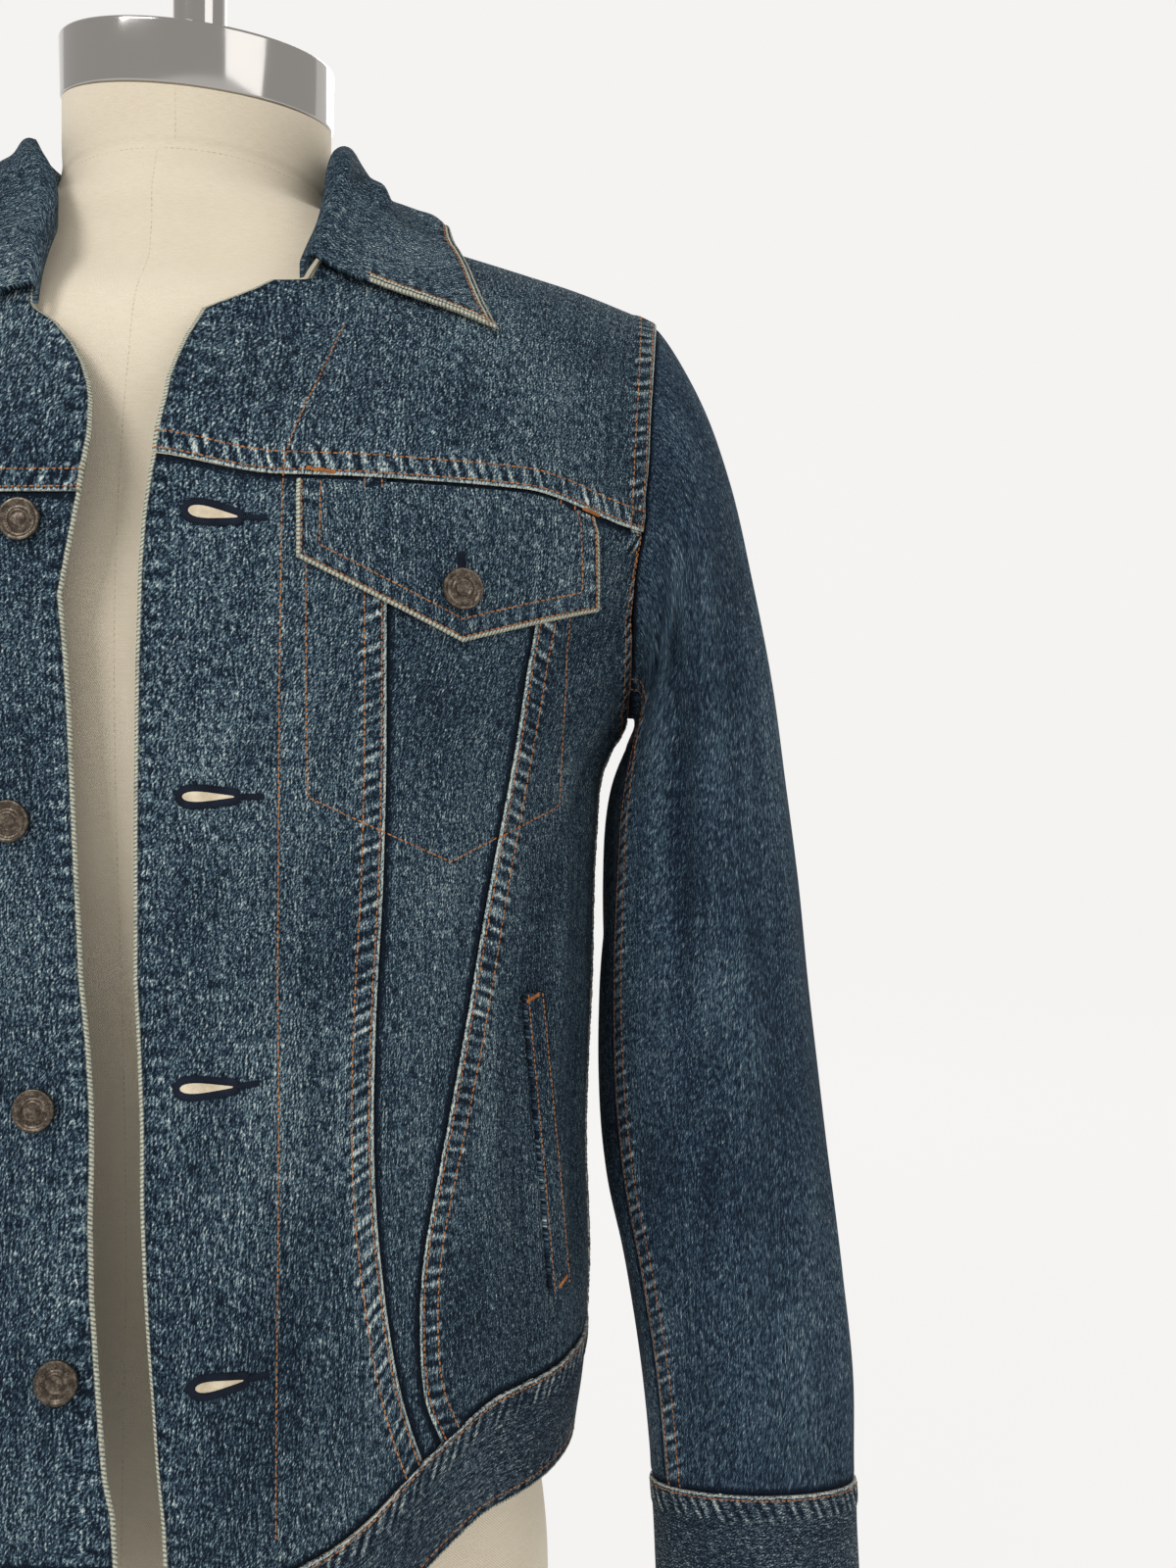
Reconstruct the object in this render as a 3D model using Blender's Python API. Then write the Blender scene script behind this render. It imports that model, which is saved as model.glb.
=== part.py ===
"""A denim trucker jacket on a limbless dress form, modelled piece by piece.

Metres, +Z up. The wearer faces -Y and the wearer's left is +X. The origin is the
centre of the form's flat underside. Every cloth piece is a thin wall on one of three
surfaces: the trunk (with its shoulders), the sleeve and the collar. Pieces that are
sewn together share a seam curve and stand SEAM_GAP apart there.
"""

import math
from collections import namedtuple

import bmesh
import bpy
import numpy as np
from mathutils import Matrix, Vector

# ---------------------------------------------------------------- driving sizes

WALL = 0.0016                # one layer of heavy denim with its turned seams
DOUBLE_WALL = 0.0024         # two layers: collar, waistband and cuffs
SEAM_GAP = 0.0003
LAY_GAP = 0.0007             # between a panel and what lies on it
YOKE_Z = 0.642               # height of the yoke seams
UNDERARM_Z = 0.5555
BAND_SEAM = 0.2635           # height of the waistband's seam at the side
BAND_DEPTH = 0.050
FRONT_DROP = 0.040           # how much lower the open fronts hang at the waistband
LEFT_DROP = 0.014            # how much lower still the left front hangs beside its edge
CAP_LENGTH = 0.200           # surface length from the yoke seam over to the shoulder seam
SHOULDER_LEAN = 0.042        # how far the shoulder widens above the yoke seam
NECK_HOLLOW = 0.18           # share by which the fronts lie nearer the neck
STEP = 1e-4                  # step for slopes taken from a surface function

FRONT_COLUMNS = (5, 3, 2)    # grid steps: edge to inner V seam, to outer V seam, to armhole
SIDE_COLUMNS = 8
BACK_SIDE_COLUMNS = 9
BACK_COLUMNS = 8
BODY_ROWS = 14
YOKE_ROWS = 9

TURN = 2.0 * math.pi
QUARTER = 0.5 * math.pi

# ---------------------------------------------------------------- named tables

Ring = namedtuple("Ring", "z half_width front back squareness")
TRUNK = [
    Ring(0.205, 0.183, 0.136, 0.120, 2.30),
    Ring(0.240, 0.189, 0.140, 0.124, 2.30),
    Ring(0.284, 0.192, 0.137, 0.121, 2.30),
    Ring(0.356, 0.1906, 0.132, 0.115, 2.30),
    Ring(0.428, 0.1934, 0.130, 0.114, 2.32),
    Ring(0.500, 0.1958, 0.130, 0.119, 2.35),
    Ring(0.530, 0.1990, 0.130, 0.121, 2.35),
    Ring(0.5555, 0.2105, 0.130, 0.122, 2.35),
    Ring(0.600, 0.228, 0.130, 0.122, 2.35),
    Ring(0.642, 0.2400, 0.130, 0.120, 2.35),
]

ShoulderPoint = namedtuple("ShoulderPoint", "x z")
SHOULDER = [
    ShoulderPoint(0.000, 0.826),
    ShoulderPoint(0.045, 0.817),
    ShoulderPoint(0.073, 0.802),
    ShoulderPoint(0.100, 0.787),
    ShoulderPoint(0.125, 0.777),
    ShoulderPoint(0.154, 0.768),
    ShoulderPoint(0.192, 0.7570),
    ShoulderPoint(0.2246, 0.7450),
    ShoulderPoint(0.252, 0.7320),
]

EdgePoint = namedtuple("EdgePoint", "x z")
LEFT_EDGE = [
    EdgePoint(0.0355, 0.1600),
    EdgePoint(0.0345, 0.1900),
    EdgePoint(0.0326, 0.2253),
    EdgePoint(0.0315, 0.2402),
    EdgePoint(0.0288, 0.2606),
    EdgePoint(0.0266, 0.2807),
    EdgePoint(0.0231, 0.3079),
    EdgePoint(0.0208, 0.3283),
    EdgePoint(0.0184, 0.3558),
    EdgePoint(0.0172, 0.3842),
    EdgePoint(0.0152, 0.4132),
    EdgePoint(0.0131, 0.4422),
    EdgePoint(0.0131, 0.5000),
    EdgePoint(0.0136, 0.5509),
    EdgePoint(0.0139, 0.5690),
    EdgePoint(0.0150, 0.6052),
    EdgePoint(0.0166, 0.6257),
    EdgePoint(0.0189, 0.6415),
    EdgePoint(0.0205, 0.6500),
]
LEFT_LAPEL = [
    EdgePoint(0.0205, 0.6500),
    EdgePoint(0.0223, 0.6645),
    EdgePoint(0.0236, 0.6727),
    EdgePoint(0.0238, 0.6829),
    EdgePoint(0.0251, 0.6931),
    EdgePoint(0.0270, 0.7045),
    EdgePoint(0.0313, 0.7193),
    EdgePoint(0.0507, 0.7307),
    EdgePoint(0.0570, 0.7355),
    EdgePoint(0.0719, 0.7372),
]
RIGHT_EDGE = [
    EdgePoint(-0.0200, 0.1600),
    EdgePoint(-0.0185, 0.1900),
    EdgePoint(-0.0162, 0.2270),
    EdgePoint(-0.0144, 0.2437),
    EdgePoint(-0.0109, 0.2570),
    EdgePoint(-0.0086, 0.2744),
    EdgePoint(-0.0055, 0.2986),
    EdgePoint(-0.0026, 0.3216),
    EdgePoint(-0.0004, 0.3490),
    EdgePoint(0.0000, 0.3702),
    EdgePoint(0.0009, 0.3914),
    EdgePoint(0.0032, 0.4159),
    EdgePoint(0.0065, 0.4422),
    EdgePoint(0.0088, 0.4884),
    EdgePoint(0.0115, 0.5509),
    EdgePoint(0.0127, 0.5690),
    EdgePoint(0.0150, 0.5941),
    EdgePoint(0.0123, 0.6087),
    EdgePoint(0.0077, 0.6326),
    EdgePoint(0.0056, 0.6486),
]
RIGHT_LAPEL = [
    EdgePoint(0.0075, 0.6345),
    EdgePoint(0.0056, 0.6486),
    EdgePoint(0.0046, 0.6582),
    EdgePoint(0.0053, 0.6661),
    EdgePoint(0.0066, 0.6750),
    EdgePoint(0.0089, 0.6823),
    EdgePoint(0.0135, 0.6923),
    EdgePoint(0.0200, 0.7026),
    EdgePoint(0.0292, 0.7131),
    EdgePoint(0.0408, 0.7215),
]
NecklineRow = namedtuple("NecklineRow", "k x roll")
NECKLINE = [
    NecklineRow(0, 0.0719, 36.4),
    NecklineRow(1, 0.0767, 44.8),
    NecklineRow(2, 0.0782, 56.0),
    NecklineRow(3, 0.0772, 72.0),
    NecklineRow(4, 0.0745, 90.0),
    NecklineRow(5, 0.0680, 106.0),
    NecklineRow(6, 0.0520, 119.0),
    NecklineRow(7, 0.0280, 126.5),
    NecklineRow(8, 0.0000, 128.5),
]
NECKLINE_RIGHT = [
    NecklineRow(0, 0.0408, 28.1),
    NecklineRow(1, 0.0420, 36.4),
    NecklineRow(2, 0.0440, 48.0),
    NecklineRow(3, 0.0605, 66.0),
] + NECKLINE[4:]

SeamPoint = namedtuple("SeamPoint", "z inner outer")
FRONT_SEAMS = [
    SeamPoint(0.2635, 0.1250, 0.1325),
    SeamPoint(0.285, 0.1195, 0.1262),
    SeamPoint(0.310, 0.1140, 0.1236),
    SeamPoint(0.335, 0.1098, 0.1242),
    SeamPoint(0.360, 0.1066, 0.1290),
    SeamPoint(0.385, 0.1052, 0.1343),
    SeamPoint(0.420, 0.1058, 0.1411),
    SeamPoint(0.480, 0.1090, 0.1512),
    SeamPoint(0.530, 0.1104, 0.1603),
    SeamPoint(0.580, 0.1110, 0.1688),
    SeamPoint(0.642, 0.1114, 0.1790),
]
BACK_SEAM_AT_YOKE = 0.128
BACK_SEAM_AT_BAND = 0.078

SleeveRing = namedtuple(
    "SleeveRing", "along outer_x outer_z inner_x inner_z centre_y half_depth pitch"
)
SLEEVE = [
    SleeveRing(0.00, 0.2246, 0.7450, 0.2105, 0.5555, 0.000, 0.0720, 0.00),
    SleeveRing(0.035, 0.2350, 0.7290, 0.2142, 0.5562, 0.000, 0.0765, 0.00),
    SleeveRing(0.075, 0.2470, 0.7060, 0.2150, 0.5535, 0.000, 0.0790, 0.00),
    SleeveRing(0.14, 0.2605, 0.6680, 0.2140, 0.5480, 0.001, 0.0790, 0.02),
    SleeveRing(0.22, 0.2715, 0.6220, 0.2095, 0.5370, 0.003, 0.0780, 0.03),
    SleeveRing(0.30, 0.2818, 0.5720, 0.2050, 0.5220, 0.005, 0.0760, 0.03),
    SleeveRing(0.38, 0.2890, 0.5240, 0.2018, 0.5000, 0.008, 0.0730, 0.02),
    SleeveRing(0.46, 0.2957, 0.4760, 0.2000, 0.4680, 0.010, 0.0700, 0.00),
    SleeveRing(0.54, 0.3010, 0.4280, 0.1978, 0.4280, 0.012, 0.0660, 0.02),
    SleeveRing(0.63, 0.3067, 0.3800, 0.1978, 0.3800, 0.012, 0.0620, 0.06),
    SleeveRing(0.72, 0.3120, 0.3320, 0.2021, 0.3320, 0.009, 0.0560, 0.12),
    SleeveRing(0.81, 0.3168, 0.2840, 0.2112, 0.2840, 0.004, 0.0500, 0.18),
    SleeveRing(0.91, 0.3206, 0.2360, 0.2185, 0.2360, -0.003, 0.0450, 0.22),
    SleeveRing(1.00, 0.3200, 0.1900, 0.2228, 0.1900, -0.009, 0.0410, 0.24),
    SleeveRing(1.10, 0.3210, 0.1400, 0.2250, 0.1400, -0.017, 0.0390, 0.24),
]

SLEEVE_STEPS = (0.0, 0.02, 0.05, 0.09, 0.15, 0.22, 0.30, 0.38, 0.46, 0.55, 0.64, 0.73,
                0.82, 0.91, 1.0)

CollarRow = namedtuple("CollarRow", "k heading inset stand fall_slope edge_x edge_roll lift")
COLLAR = [
    CollarRow(0, 0.0, 0.0032, 0.0110, 32.0, 0.1540, 32.5, 0.0015),
    CollarRow(1, 0.0, 0.0032, 0.0160, 43.0, 0.1470, 39.8, 0.0020),
    CollarRow(2, 2.0, 0.0032, 0.0230, 53.0, 0.1390, 51.0, 0.0030),
    CollarRow(3, 6.0, 0.0032, 0.0275, 60.0, 0.1260, 69.0, 0.0040),
    CollarRow(4, 14.0, 0.0036, 0.0305, 66.0, 0.1140, 90.0, 0.0040),
    CollarRow(5, 32.0, 0.0044, 0.0335, 70.0, 0.1000, 107.0, 0.0040),
    CollarRow(6, 52.0, 0.0046, 0.0360, 74.0, 0.0760, 122.0, 0.0030),
    CollarRow(7, 72.0, 0.0047, 0.0375, 75.0, 0.0420, 132.0, 0.0020),
    CollarRow(8, 90.0, 0.0047, 0.0380, 75.0, 0.0000, 135.5, 0.0015),
]
COLLAR_RIGHT = [
    CollarRow(0, 0.0, 0.0032, 0.0090, 12.0, 0.1080, 27.0, 0.0015),
    CollarRow(1, -4.0, 0.0038, 0.0120, 32.0, 0.1070, 35.0, 0.0020),
    CollarRow(2, -10.0, 0.0044, 0.0160, 48.0, 0.1070, 47.0, 0.0030),
    CollarRow(3, -2.0, 0.0036, 0.0225, 58.0, 0.1100, 68.0, 0.0040),
] + COLLAR[4:]
COLLAR_SINK = 0.0020         # how far it reaches below the neckline
COLLAR_FORWARD = 0.0030      # how far its front ends are turned out over the fronts
FOLD_RADIUS = 0.0046
STAND_SHARE = 0.20           # shares of the collar's profile: stand, then fold, then fall
FOLD_SHARE = 0.36

FLAP_INNER_X, FLAP_INNER_Z = 0.0765, 0.6090
FLAP_POINT_X, FLAP_POINT_Z = 0.1400, 0.5780
FLAP_OUTER_X, FLAP_OUTER_Z = 0.1950, 0.5957
FLAP_TOP_LEVEL = 0.6405
FLAP_THICKNESS = 0.0024
WELT_HIGH_X, WELT_HIGH_Z = 0.1670, 0.4310
WELT_LOW_X, WELT_LOW_Z = 0.1780, 0.2980
WELT_WIDTH = 0.008

ButtonPlace = namedtuple("ButtonPlace", "name x z mirrored")
BUTTONS = [
    ButtonPlace("button_neck", 0.0670, 0.7000, True),
    ButtonPlace("button_front_1", 0.0308, 0.6230, True),
    ButtonPlace("button_front_2", 0.0351, 0.5046, True),
    ButtonPlace("button_front_3", 0.0234, 0.3917, True),
    ButtonPlace("button_front_4", 0.0090, 0.2917, True),
    ButtonPlace("button_waistband", 0.0035, 0.2040, True),
    ButtonPlace("button_flap_left", 0.1395, 0.5990, False),
    ButtonPlace("button_flap_right", 0.1395, 0.5990, True),
]
BUTTON_PROFILE = (
    (0.0, 0.0), (0.0030, 0.0), (0.0030, 0.0012), (0.0083, 0.0014), (0.0085, 0.0026),
    (0.0078, 0.0032), (0.0064, 0.0026), (0.0042, 0.0026), (0.0036, 0.0031), (0.0, 0.0031),
)

FormRing = namedtuple("FormRing", "z half_width front back squareness")
FORM = [
    FormRing(0.000, 0.158, 0.100, 0.104, 2.2),
    FormRing(0.060, 0.168, 0.106, 0.110, 2.2),
    FormRing(0.150, 0.172, 0.108, 0.112, 2.2),
    FormRing(0.240, 0.160, 0.104, 0.104, 2.2),
    FormRing(0.330, 0.146, 0.100, 0.096, 2.2),
    FormRing(0.420, 0.150, 0.104, 0.098, 2.2),
    FormRing(0.510, 0.164, 0.112, 0.104, 2.2),
    FormRing(0.580, 0.174, 0.114, 0.108, 2.2),
    FormRing(0.647, 0.188, 0.108, 0.106, 2.1),
    FormRing(0.700, 0.198, 0.097, 0.098, 1.9),
    FormRing(0.730, 0.198, 0.088, 0.090, 1.8),
]
ShoulderStep = namedtuple("ShoulderStep", "x below front back squareness")
FORM_SHOULDER = [
    ShoulderStep(0.186, 0.0030, 0.070, 0.066, 1.72),
    ShoulderStep(0.172, 0.0020, 0.069, 0.066, 1.70),
    ShoulderStep(0.154, 0.0014, 0.068, 0.066, 1.70),
    ShoulderStep(0.136, 0.0014, 0.067, 0.065, 1.75),
    ShoulderStep(0.118, 0.0022, 0.067, 0.065, 1.82),
    ShoulderStep(0.100, 0.0030, 0.067, 0.065, 1.90),
    ShoulderStep(0.084, 0.0060, 0.066, 0.063, 1.95),
    ShoulderStep(0.0700, 0.0085, 0.064, 0.0615, 2.00),
]
NECK_RADIUS = 0.0632
NECK_SHIFT = 0.0020          # the neck leans a little to the wearer's left
NECK_FOOT_Z = 0.811
NECK_TOP_Z = 0.8490
NECK_TILT = math.radians(15.0)
NECK_ROLL = math.radians(4.3)
CAP_RADIUS = 0.0640
CAP_HEIGHT = 0.027
POST_RADIUS = 0.0125
POST_HEIGHT = 0.075


# ---------------------------------------------------------------- reading the tables


def along_table(rows, key, column, at):
    """Read one column of a table as a smooth curve (Hermite pieces through the rows)."""
    keys = np.array([getattr(row, key) for row in rows])
    values = np.array([getattr(row, column) for row in rows])
    slopes = np.gradient(values, keys)
    at = np.clip(np.asarray(at, dtype=float), keys[0], keys[-1])
    index = np.clip(np.searchsorted(keys, at) - 1, 0, len(keys) - 2)
    width = keys[index + 1] - keys[index]
    t = (at - keys[index]) / width
    start = (1 + 2 * t) * (1 - t) ** 2 * values[index]
    end = t * t * (3 - 2 * t) * values[index + 1]
    bend = width * t * (1 - t) * ((1 - t) * slopes[index] - t * slopes[index + 1])
    return start + end + bend


def along_path(rows, at):
    """Read (x, z) at a share of a path's length, 0 at its first row and 1 at its last."""
    steps = [math.hypot(b.x - a.x, b.z - a.z) for a, b in zip(rows, rows[1:])]
    reach = np.concatenate([[0.0], np.cumsum(steps)]) / sum(steps)
    xs = np.array([row.x for row in rows])
    zs = np.array([row.z for row in rows])
    return np.interp(at, reach, xs), np.interp(at, reach, zs)


def ease(low, high, at):
    """0 below low, 1 above high, smooth between."""
    t = np.clip((np.asarray(at, dtype=float) - low) / (high - low), 0.0, 1.0)
    return t * t * (3.0 - 2.0 * t)


def shoulder_z(x):
    return along_table(SHOULDER, "x", "z", np.abs(x))


# ---------------------------------------------------------------- the trunk's surface
# turn runs from 0 at the centre front, over the wearer's left side, to pi at the centre
# back and on to 2 pi. level is a height up to the yoke seam, and above it the length
# over the shoulder, to TOP at the shoulder seam.

TOP = YOKE_Z + CAP_LENGTH


def ring_xy(turn, z):
    """One level ring of the trunk: a squared ellipse with its own front and back."""
    half_width = along_table(TRUNK, "z", "half_width", z)
    front = along_table(TRUNK, "z", "front", z)
    back = along_table(TRUNK, "z", "back", z)
    power = 2.0 / along_table(TRUNK, "z", "squareness", z)
    s, c = np.sin(turn), np.cos(turn)
    x = half_width * np.sign(s) * np.abs(s) ** power
    y = -np.where(c > 0, front, back) * np.sign(c) * np.abs(c) ** power
    return x, y


def front_swing(x, y, z):
    """How far the open fronts stand forward of the ring, with the soft groove beside."""
    at_front = ease(0.05, 0.10, -y)
    below = 1.0 - ease(0.22, 0.46, z)
    swing = 0.018 * below * (1.0 - ease(0.035, 0.105, np.abs(x)))
    groove = 0.0045 * (1.0 - ease(0.40, 0.56, z)) * np.exp(-(((np.abs(x) - 0.088) / 0.016) ** 2))
    return at_front * (swing - groove)


def front_sag(turn, level):
    """How far the ring dips towards the centre front, most at the waistband."""
    c = np.cos(turn)
    return FRONT_DROP * ease(0.60, 1.0, c) * (1.0 - ease(0.27, 0.46, level))


def left_sag(turn, x, level):
    """The same on the left front alone."""
    beside_edge = ease(0.018, 0.034, x) * (1.0 - ease(0.085, 0.130, x)) * ease(0.0, 0.3, np.cos(turn))
    return LEFT_DROP * beside_edge * (1.0 - ease(0.27, 0.42, level))


def front_wave(turn, x, level):
    """The left yoke seam lifts to its front edge, the right one drops, and both dip outward."""
    near_yoke = np.exp(-(((level - YOKE_Z) / 0.06) ** 2)) * ease(0.0, 0.35, np.cos(turn))
    lift = 0.008 * (1.0 - ease(0.015, 0.070, x)) * ease(0.0, 0.012, x)
    lift = lift - 0.0075 * (1.0 - ease(0.045, 0.110, -x)) * ease(-0.012, 0.0, -x)
    dip = 0.010 * ease(0.165, 0.2155, np.abs(x))
    return near_yoke * (lift - dip)


def neck_hollow(turn, x, roll):
    """Share by which the fronts lie nearer the neck than the plain curve over the shoulder."""
    near = (1.0 - ease(0.070, 0.165, np.abs(x))) * ease(0.0, 0.35, np.cos(turn))
    rise = np.sin(roll)
    return NECK_HOLLOW * near * ease(0.05, 0.50, rise) * (1.0 - 0.7 * ease(0.72, 0.95, rise))


def trunk(turn, level):
    """Point on the outer face of the trunk's cloth."""
    turn, level = np.broadcast_arrays(np.asarray(turn, float), np.asarray(level, float))
    height = np.minimum(level, YOKE_Z)
    x, y = ring_xy(turn, height)
    z = height - front_sag(turn, height) - left_sag(turn, x, height) + front_wave(turn, x, level)
    y = y - front_swing(x, y, z)
    roll = np.clip((level - YOKE_Z) / CAP_LENGTH, 0.0, 1.0) * QUARTER
    rise = shoulder_z(x * (1.0 + SHOULDER_LEAN)) - YOKE_Z
    x = x * (1.0 + SHOULDER_LEAN * np.sin(roll))
    y = y * np.cos(roll) * (1.0 - neck_hollow(turn, x, roll))
    z = z + rise * np.sin(roll)
    return np.stack([x, y, z], axis=-1)


def facing_out(surface, a, b):
    """Unit normal of a surface function, from its slopes along a and b."""
    along_a = surface(a + STEP, b) - surface(a - STEP, b)
    along_b = surface(a, b + STEP) - surface(a, b - STEP)
    normal = np.cross(along_a, along_b)
    return normal / np.linalg.norm(normal, axis=-1, keepdims=True)


def trunk_normal(turn, level):
    level = np.minimum(level, TOP - 2 * STEP)
    return facing_out(trunk, np.asarray(turn, float), level)


def find_on_trunk(x, z, back=False):
    """The (turn, level) of the point with this x and z, on the front or the back."""
    x, z = np.broadcast_arrays(np.asarray(x, float), np.asarray(z, float))
    turn = np.full(x.shape, 0.3)
    level = z.copy()
    for _ in range(40):
        roll = np.clip((level - YOKE_Z) / CAP_LENGTH, 0.0, 1.0) * QUARTER
        height = np.minimum(level, YOKE_Z)
        half_width = along_table(TRUNK, "z", "half_width", height)
        square = along_table(TRUNK, "z", "squareness", height)
        share = np.abs(x) / (half_width * (1.0 + SHOULDER_LEAN * np.sin(roll)))
        turn = np.arcsin(np.clip(share, 0.0, 1.0) ** (square / 2.0))
        rise = shoulder_z(x) - YOKE_Z
        sag = front_sag(turn, height) + left_sag(turn, x, height)
        plain_z = z if back else z + sag - front_wave(turn, x, level)
        lift = np.arcsin(np.clip((plain_z - YOKE_Z) / rise, 0.0, 1.0)) / QUARTER
        level = np.where(plain_z < YOKE_Z, plain_z, YOKE_Z + lift * CAP_LENGTH)
    turn = turn * np.where(x < 0, -1.0, 1.0)
    return (math.pi - turn if back else turn), level


def turn_at(x, level):
    """The turn of the front point at this x, on a level at or below the yoke seam."""
    half_width = along_table(TRUNK, "z", "half_width", level)
    square = along_table(TRUNK, "z", "squareness", level)
    x = np.asarray(x, float)
    return np.sign(x) * np.arcsin((np.abs(x) / half_width) ** (square / 2.0))


def over_shoulder(x, roll):
    """The place at this x and roll: 0 at the front yoke seam, 90 on the shoulder, 180 behind."""
    x, roll = np.broadcast_arrays(np.asarray(x, float), np.asarray(roll, float))
    up = np.where(roll > 90.0, 180.0 - roll, roll)
    turn = turn_at(x / (1.0 + SHOULDER_LEAN * np.sin(np.radians(up))), YOKE_Z)
    return np.where(roll > 90.0, math.pi - turn, turn), YOKE_Z + up / 90.0 * CAP_LENGTH


def on_side(sense, surface, place):
    """A trunk function read on the left side, or on the right side and mirrored (sense -1)."""
    turn, level = place
    return surface(sense * np.asarray(turn, float), level) * np.array([sense, 1.0, 1.0])


def to_right(turn_level):
    """The same place on the wearer's right side."""
    turn, level = turn_level
    return TURN - turn, level


# ---------------------------------------------------------------- seams on the trunk
# Each seam is a function of 0..1 that gives (turn, level) on the wearer's left.

ARM_FRONT = float(turn_at(0.2155, YOKE_Z))
ARM_BACK = math.pi - ARM_FRONT
SIDE = QUARTER
NECK_TURN = float(over_shoulder(NECKLINE[4].x, 90.0)[0])


def neck_place(k, rows):
    """(turn, level) at place k of the neckline: 0 front corner, 4 shoulder, 8 centre back."""
    x = along_table(rows, "k", "x", k)
    return over_shoulder(np.maximum(x, 0.0), along_table(rows, "k", "roll", k))


def neckline(first, last, rows):
    def seam(t):
        return neck_place(first + (last - first) * t, rows)

    return seam


def level_line_up(turn):
    def seam(t):
        return np.full_like(t, turn), YOKE_Z + CAP_LENGTH * t

    return seam


def level_line(level, start, end):
    def seam(t):
        return start + (end - start) * t, np.full_like(t, level)

    return seam


def edge_seam(rows, sense):
    def seam(t):
        x, z = along_path(rows, t)
        turn, level = find_on_trunk(sense * x, z)
        return sense * turn, level

    return seam


def edge_by_level(rows, sense, low, high):
    """A front edge in equal steps of level, its x read from the table at its own height."""
    xs, zs = np.array([row.x for row in rows]), np.array([row.z for row in rows])

    def seam(t):
        level = low + (high - low) * np.asarray(t, float)
        x = np.interp(level, zs, xs)
        for _ in range(6):
            x = np.interp(trunk(sense * turn_at(x, level), level)[..., 2], zs, xs)
        return turn_at(x, level), level

    return seam


def v_seam(column):
    """A front V seam, from the waistband up to the yoke."""

    def seam(t):
        level = BAND_SEAM + (YOKE_Z - BAND_SEAM) * t
        x = along_table(FRONT_SEAMS, "z", column, level)
        return turn_at(x, level), level

    return seam


def back_seam(t):
    level = BAND_SEAM + (YOKE_Z - BAND_SEAM) * t
    x = BACK_SEAM_AT_BAND + (BACK_SEAM_AT_YOKE - BACK_SEAM_AT_BAND) * t
    return math.pi - turn_at(x, level), level


def side_seam(t):
    return np.full_like(t, SIDE), BAND_SEAM + (UNDERARM_Z - BAND_SEAM) * t


def armhole_lower(t, back=False):
    """From the yoke seam down round to the underarm point, a quarter of an ellipse."""
    angle = QUARTER * (1.0 - t)
    level = YOKE_Z - (YOKE_Z - UNDERARM_Z) * np.cos(angle)
    depth = along_table(TRUNK, "z", "back" if back else "front", level)
    square = along_table(TRUNK, "z", "squareness", level)
    _, y = ring_xy(ARM_BACK if back else ARM_FRONT, YOKE_Z)
    share = np.clip(np.abs(y) * np.sin(angle) / depth, 0.0, 1.0)
    turn = np.arccos(share ** (square / 2.0))
    return (math.pi - turn if back else turn), level


def armhole_back_up(t):
    return armhole_lower(1.0 - t, back=True)


def joined(first, second, share):
    """Two seams end to end as one: the first takes this share of 0..1."""

    def seam(t):
        t = np.asarray(t, float)
        a = first(np.clip(t / share, 0.0, 1.0))
        b = second(np.clip((t - share) / (1.0 - share), 0.0, 1.0))
        return tuple(np.where(t <= share + 1e-9, p, q) for p, q in zip(a, b))

    return seam


def start_of(seam):
    return tuple(float(value[0]) for value in seam(np.zeros(1)))


def end_of(seam):
    return tuple(float(value[0]) for value in seam(np.ones(1)))


# ---------------------------------------------------------------- the sleeve's surface
# around is 0 at the top, a quarter turn at the front, a half turn under the arm.


def armhole(around):
    """(turn, level) of the left armhole at this angle round the sleeve."""
    around = np.mod(np.asarray(around, float), TURN)
    back = around > math.pi
    angle = np.where(back, TURN - around, around)
    upper = angle <= QUARTER
    level_up = YOKE_Z + (QUARTER - np.minimum(angle, QUARTER)) / QUARTER * CAP_LENGTH
    t = np.clip((angle - QUARTER) / QUARTER, 0.0, 1.0)
    turn_low_front, level_low = armhole_lower(t)
    turn_low_back, _ = armhole_lower(t, back=True)
    turn_front = np.where(upper, ARM_FRONT, turn_low_front)
    turn_back = np.where(upper, ARM_BACK, turn_low_back)
    return np.where(back, turn_back, turn_front), np.where(upper, level_up, level_low)


def sleeve_oval(around, along):
    """The plain tube through the sleeve's rings."""
    read = {name: along_table(SLEEVE, "along", name, along) for name in SleeveRing._fields}
    c, s = np.cos(around), np.sin(around)
    x = (read["outer_x"] + read["inner_x"]) / 2 + (read["outer_x"] - read["inner_x"]) / 2 * c
    z = (read["outer_z"] + read["inner_z"]) / 2 + (read["outer_z"] - read["inner_z"]) / 2 * c
    forward = read["half_depth"] * s
    return np.stack([x, read["centre_y"] - forward, z + forward * read["pitch"]], axis=-1)


def sleeve_fold(around, along):
    """The long fold that falls from the front of the armhole, and a softer one behind."""
    front = np.exp(-(((around - 1.95) / 0.22) ** 2)) * ease(0.06, 0.20, along)
    front = front * (1.0 - ease(0.40, 0.62, along))
    behind = np.exp(-(((around - 4.35) / 0.25) ** 2)) * ease(0.06, 0.20, along)
    behind = behind * (1.0 - ease(0.35, 0.60, along))
    return 0.0075 * front + 0.0055 * behind


def sleeve(around, along):
    """Point on the outer face of the left sleeve; it starts on the armhole itself."""
    around, along = np.broadcast_arrays(np.asarray(around, float), np.asarray(along, float))
    oval = sleeve_oval(around, along)
    start = trunk(*armhole(around)) - sleeve_oval(around, np.zeros_like(along))
    fade = 1.0 - ease(0.0, 0.16, along)
    centre = (sleeve_oval(around, along) + sleeve_oval(around + math.pi, along)) / 2
    inward = centre - oval
    inward = inward / np.linalg.norm(inward, axis=-1, keepdims=True)
    fold = sleeve_fold(np.mod(around, TURN), along)
    return oval + start * fade[..., None] + inward * fold[..., None]


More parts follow.
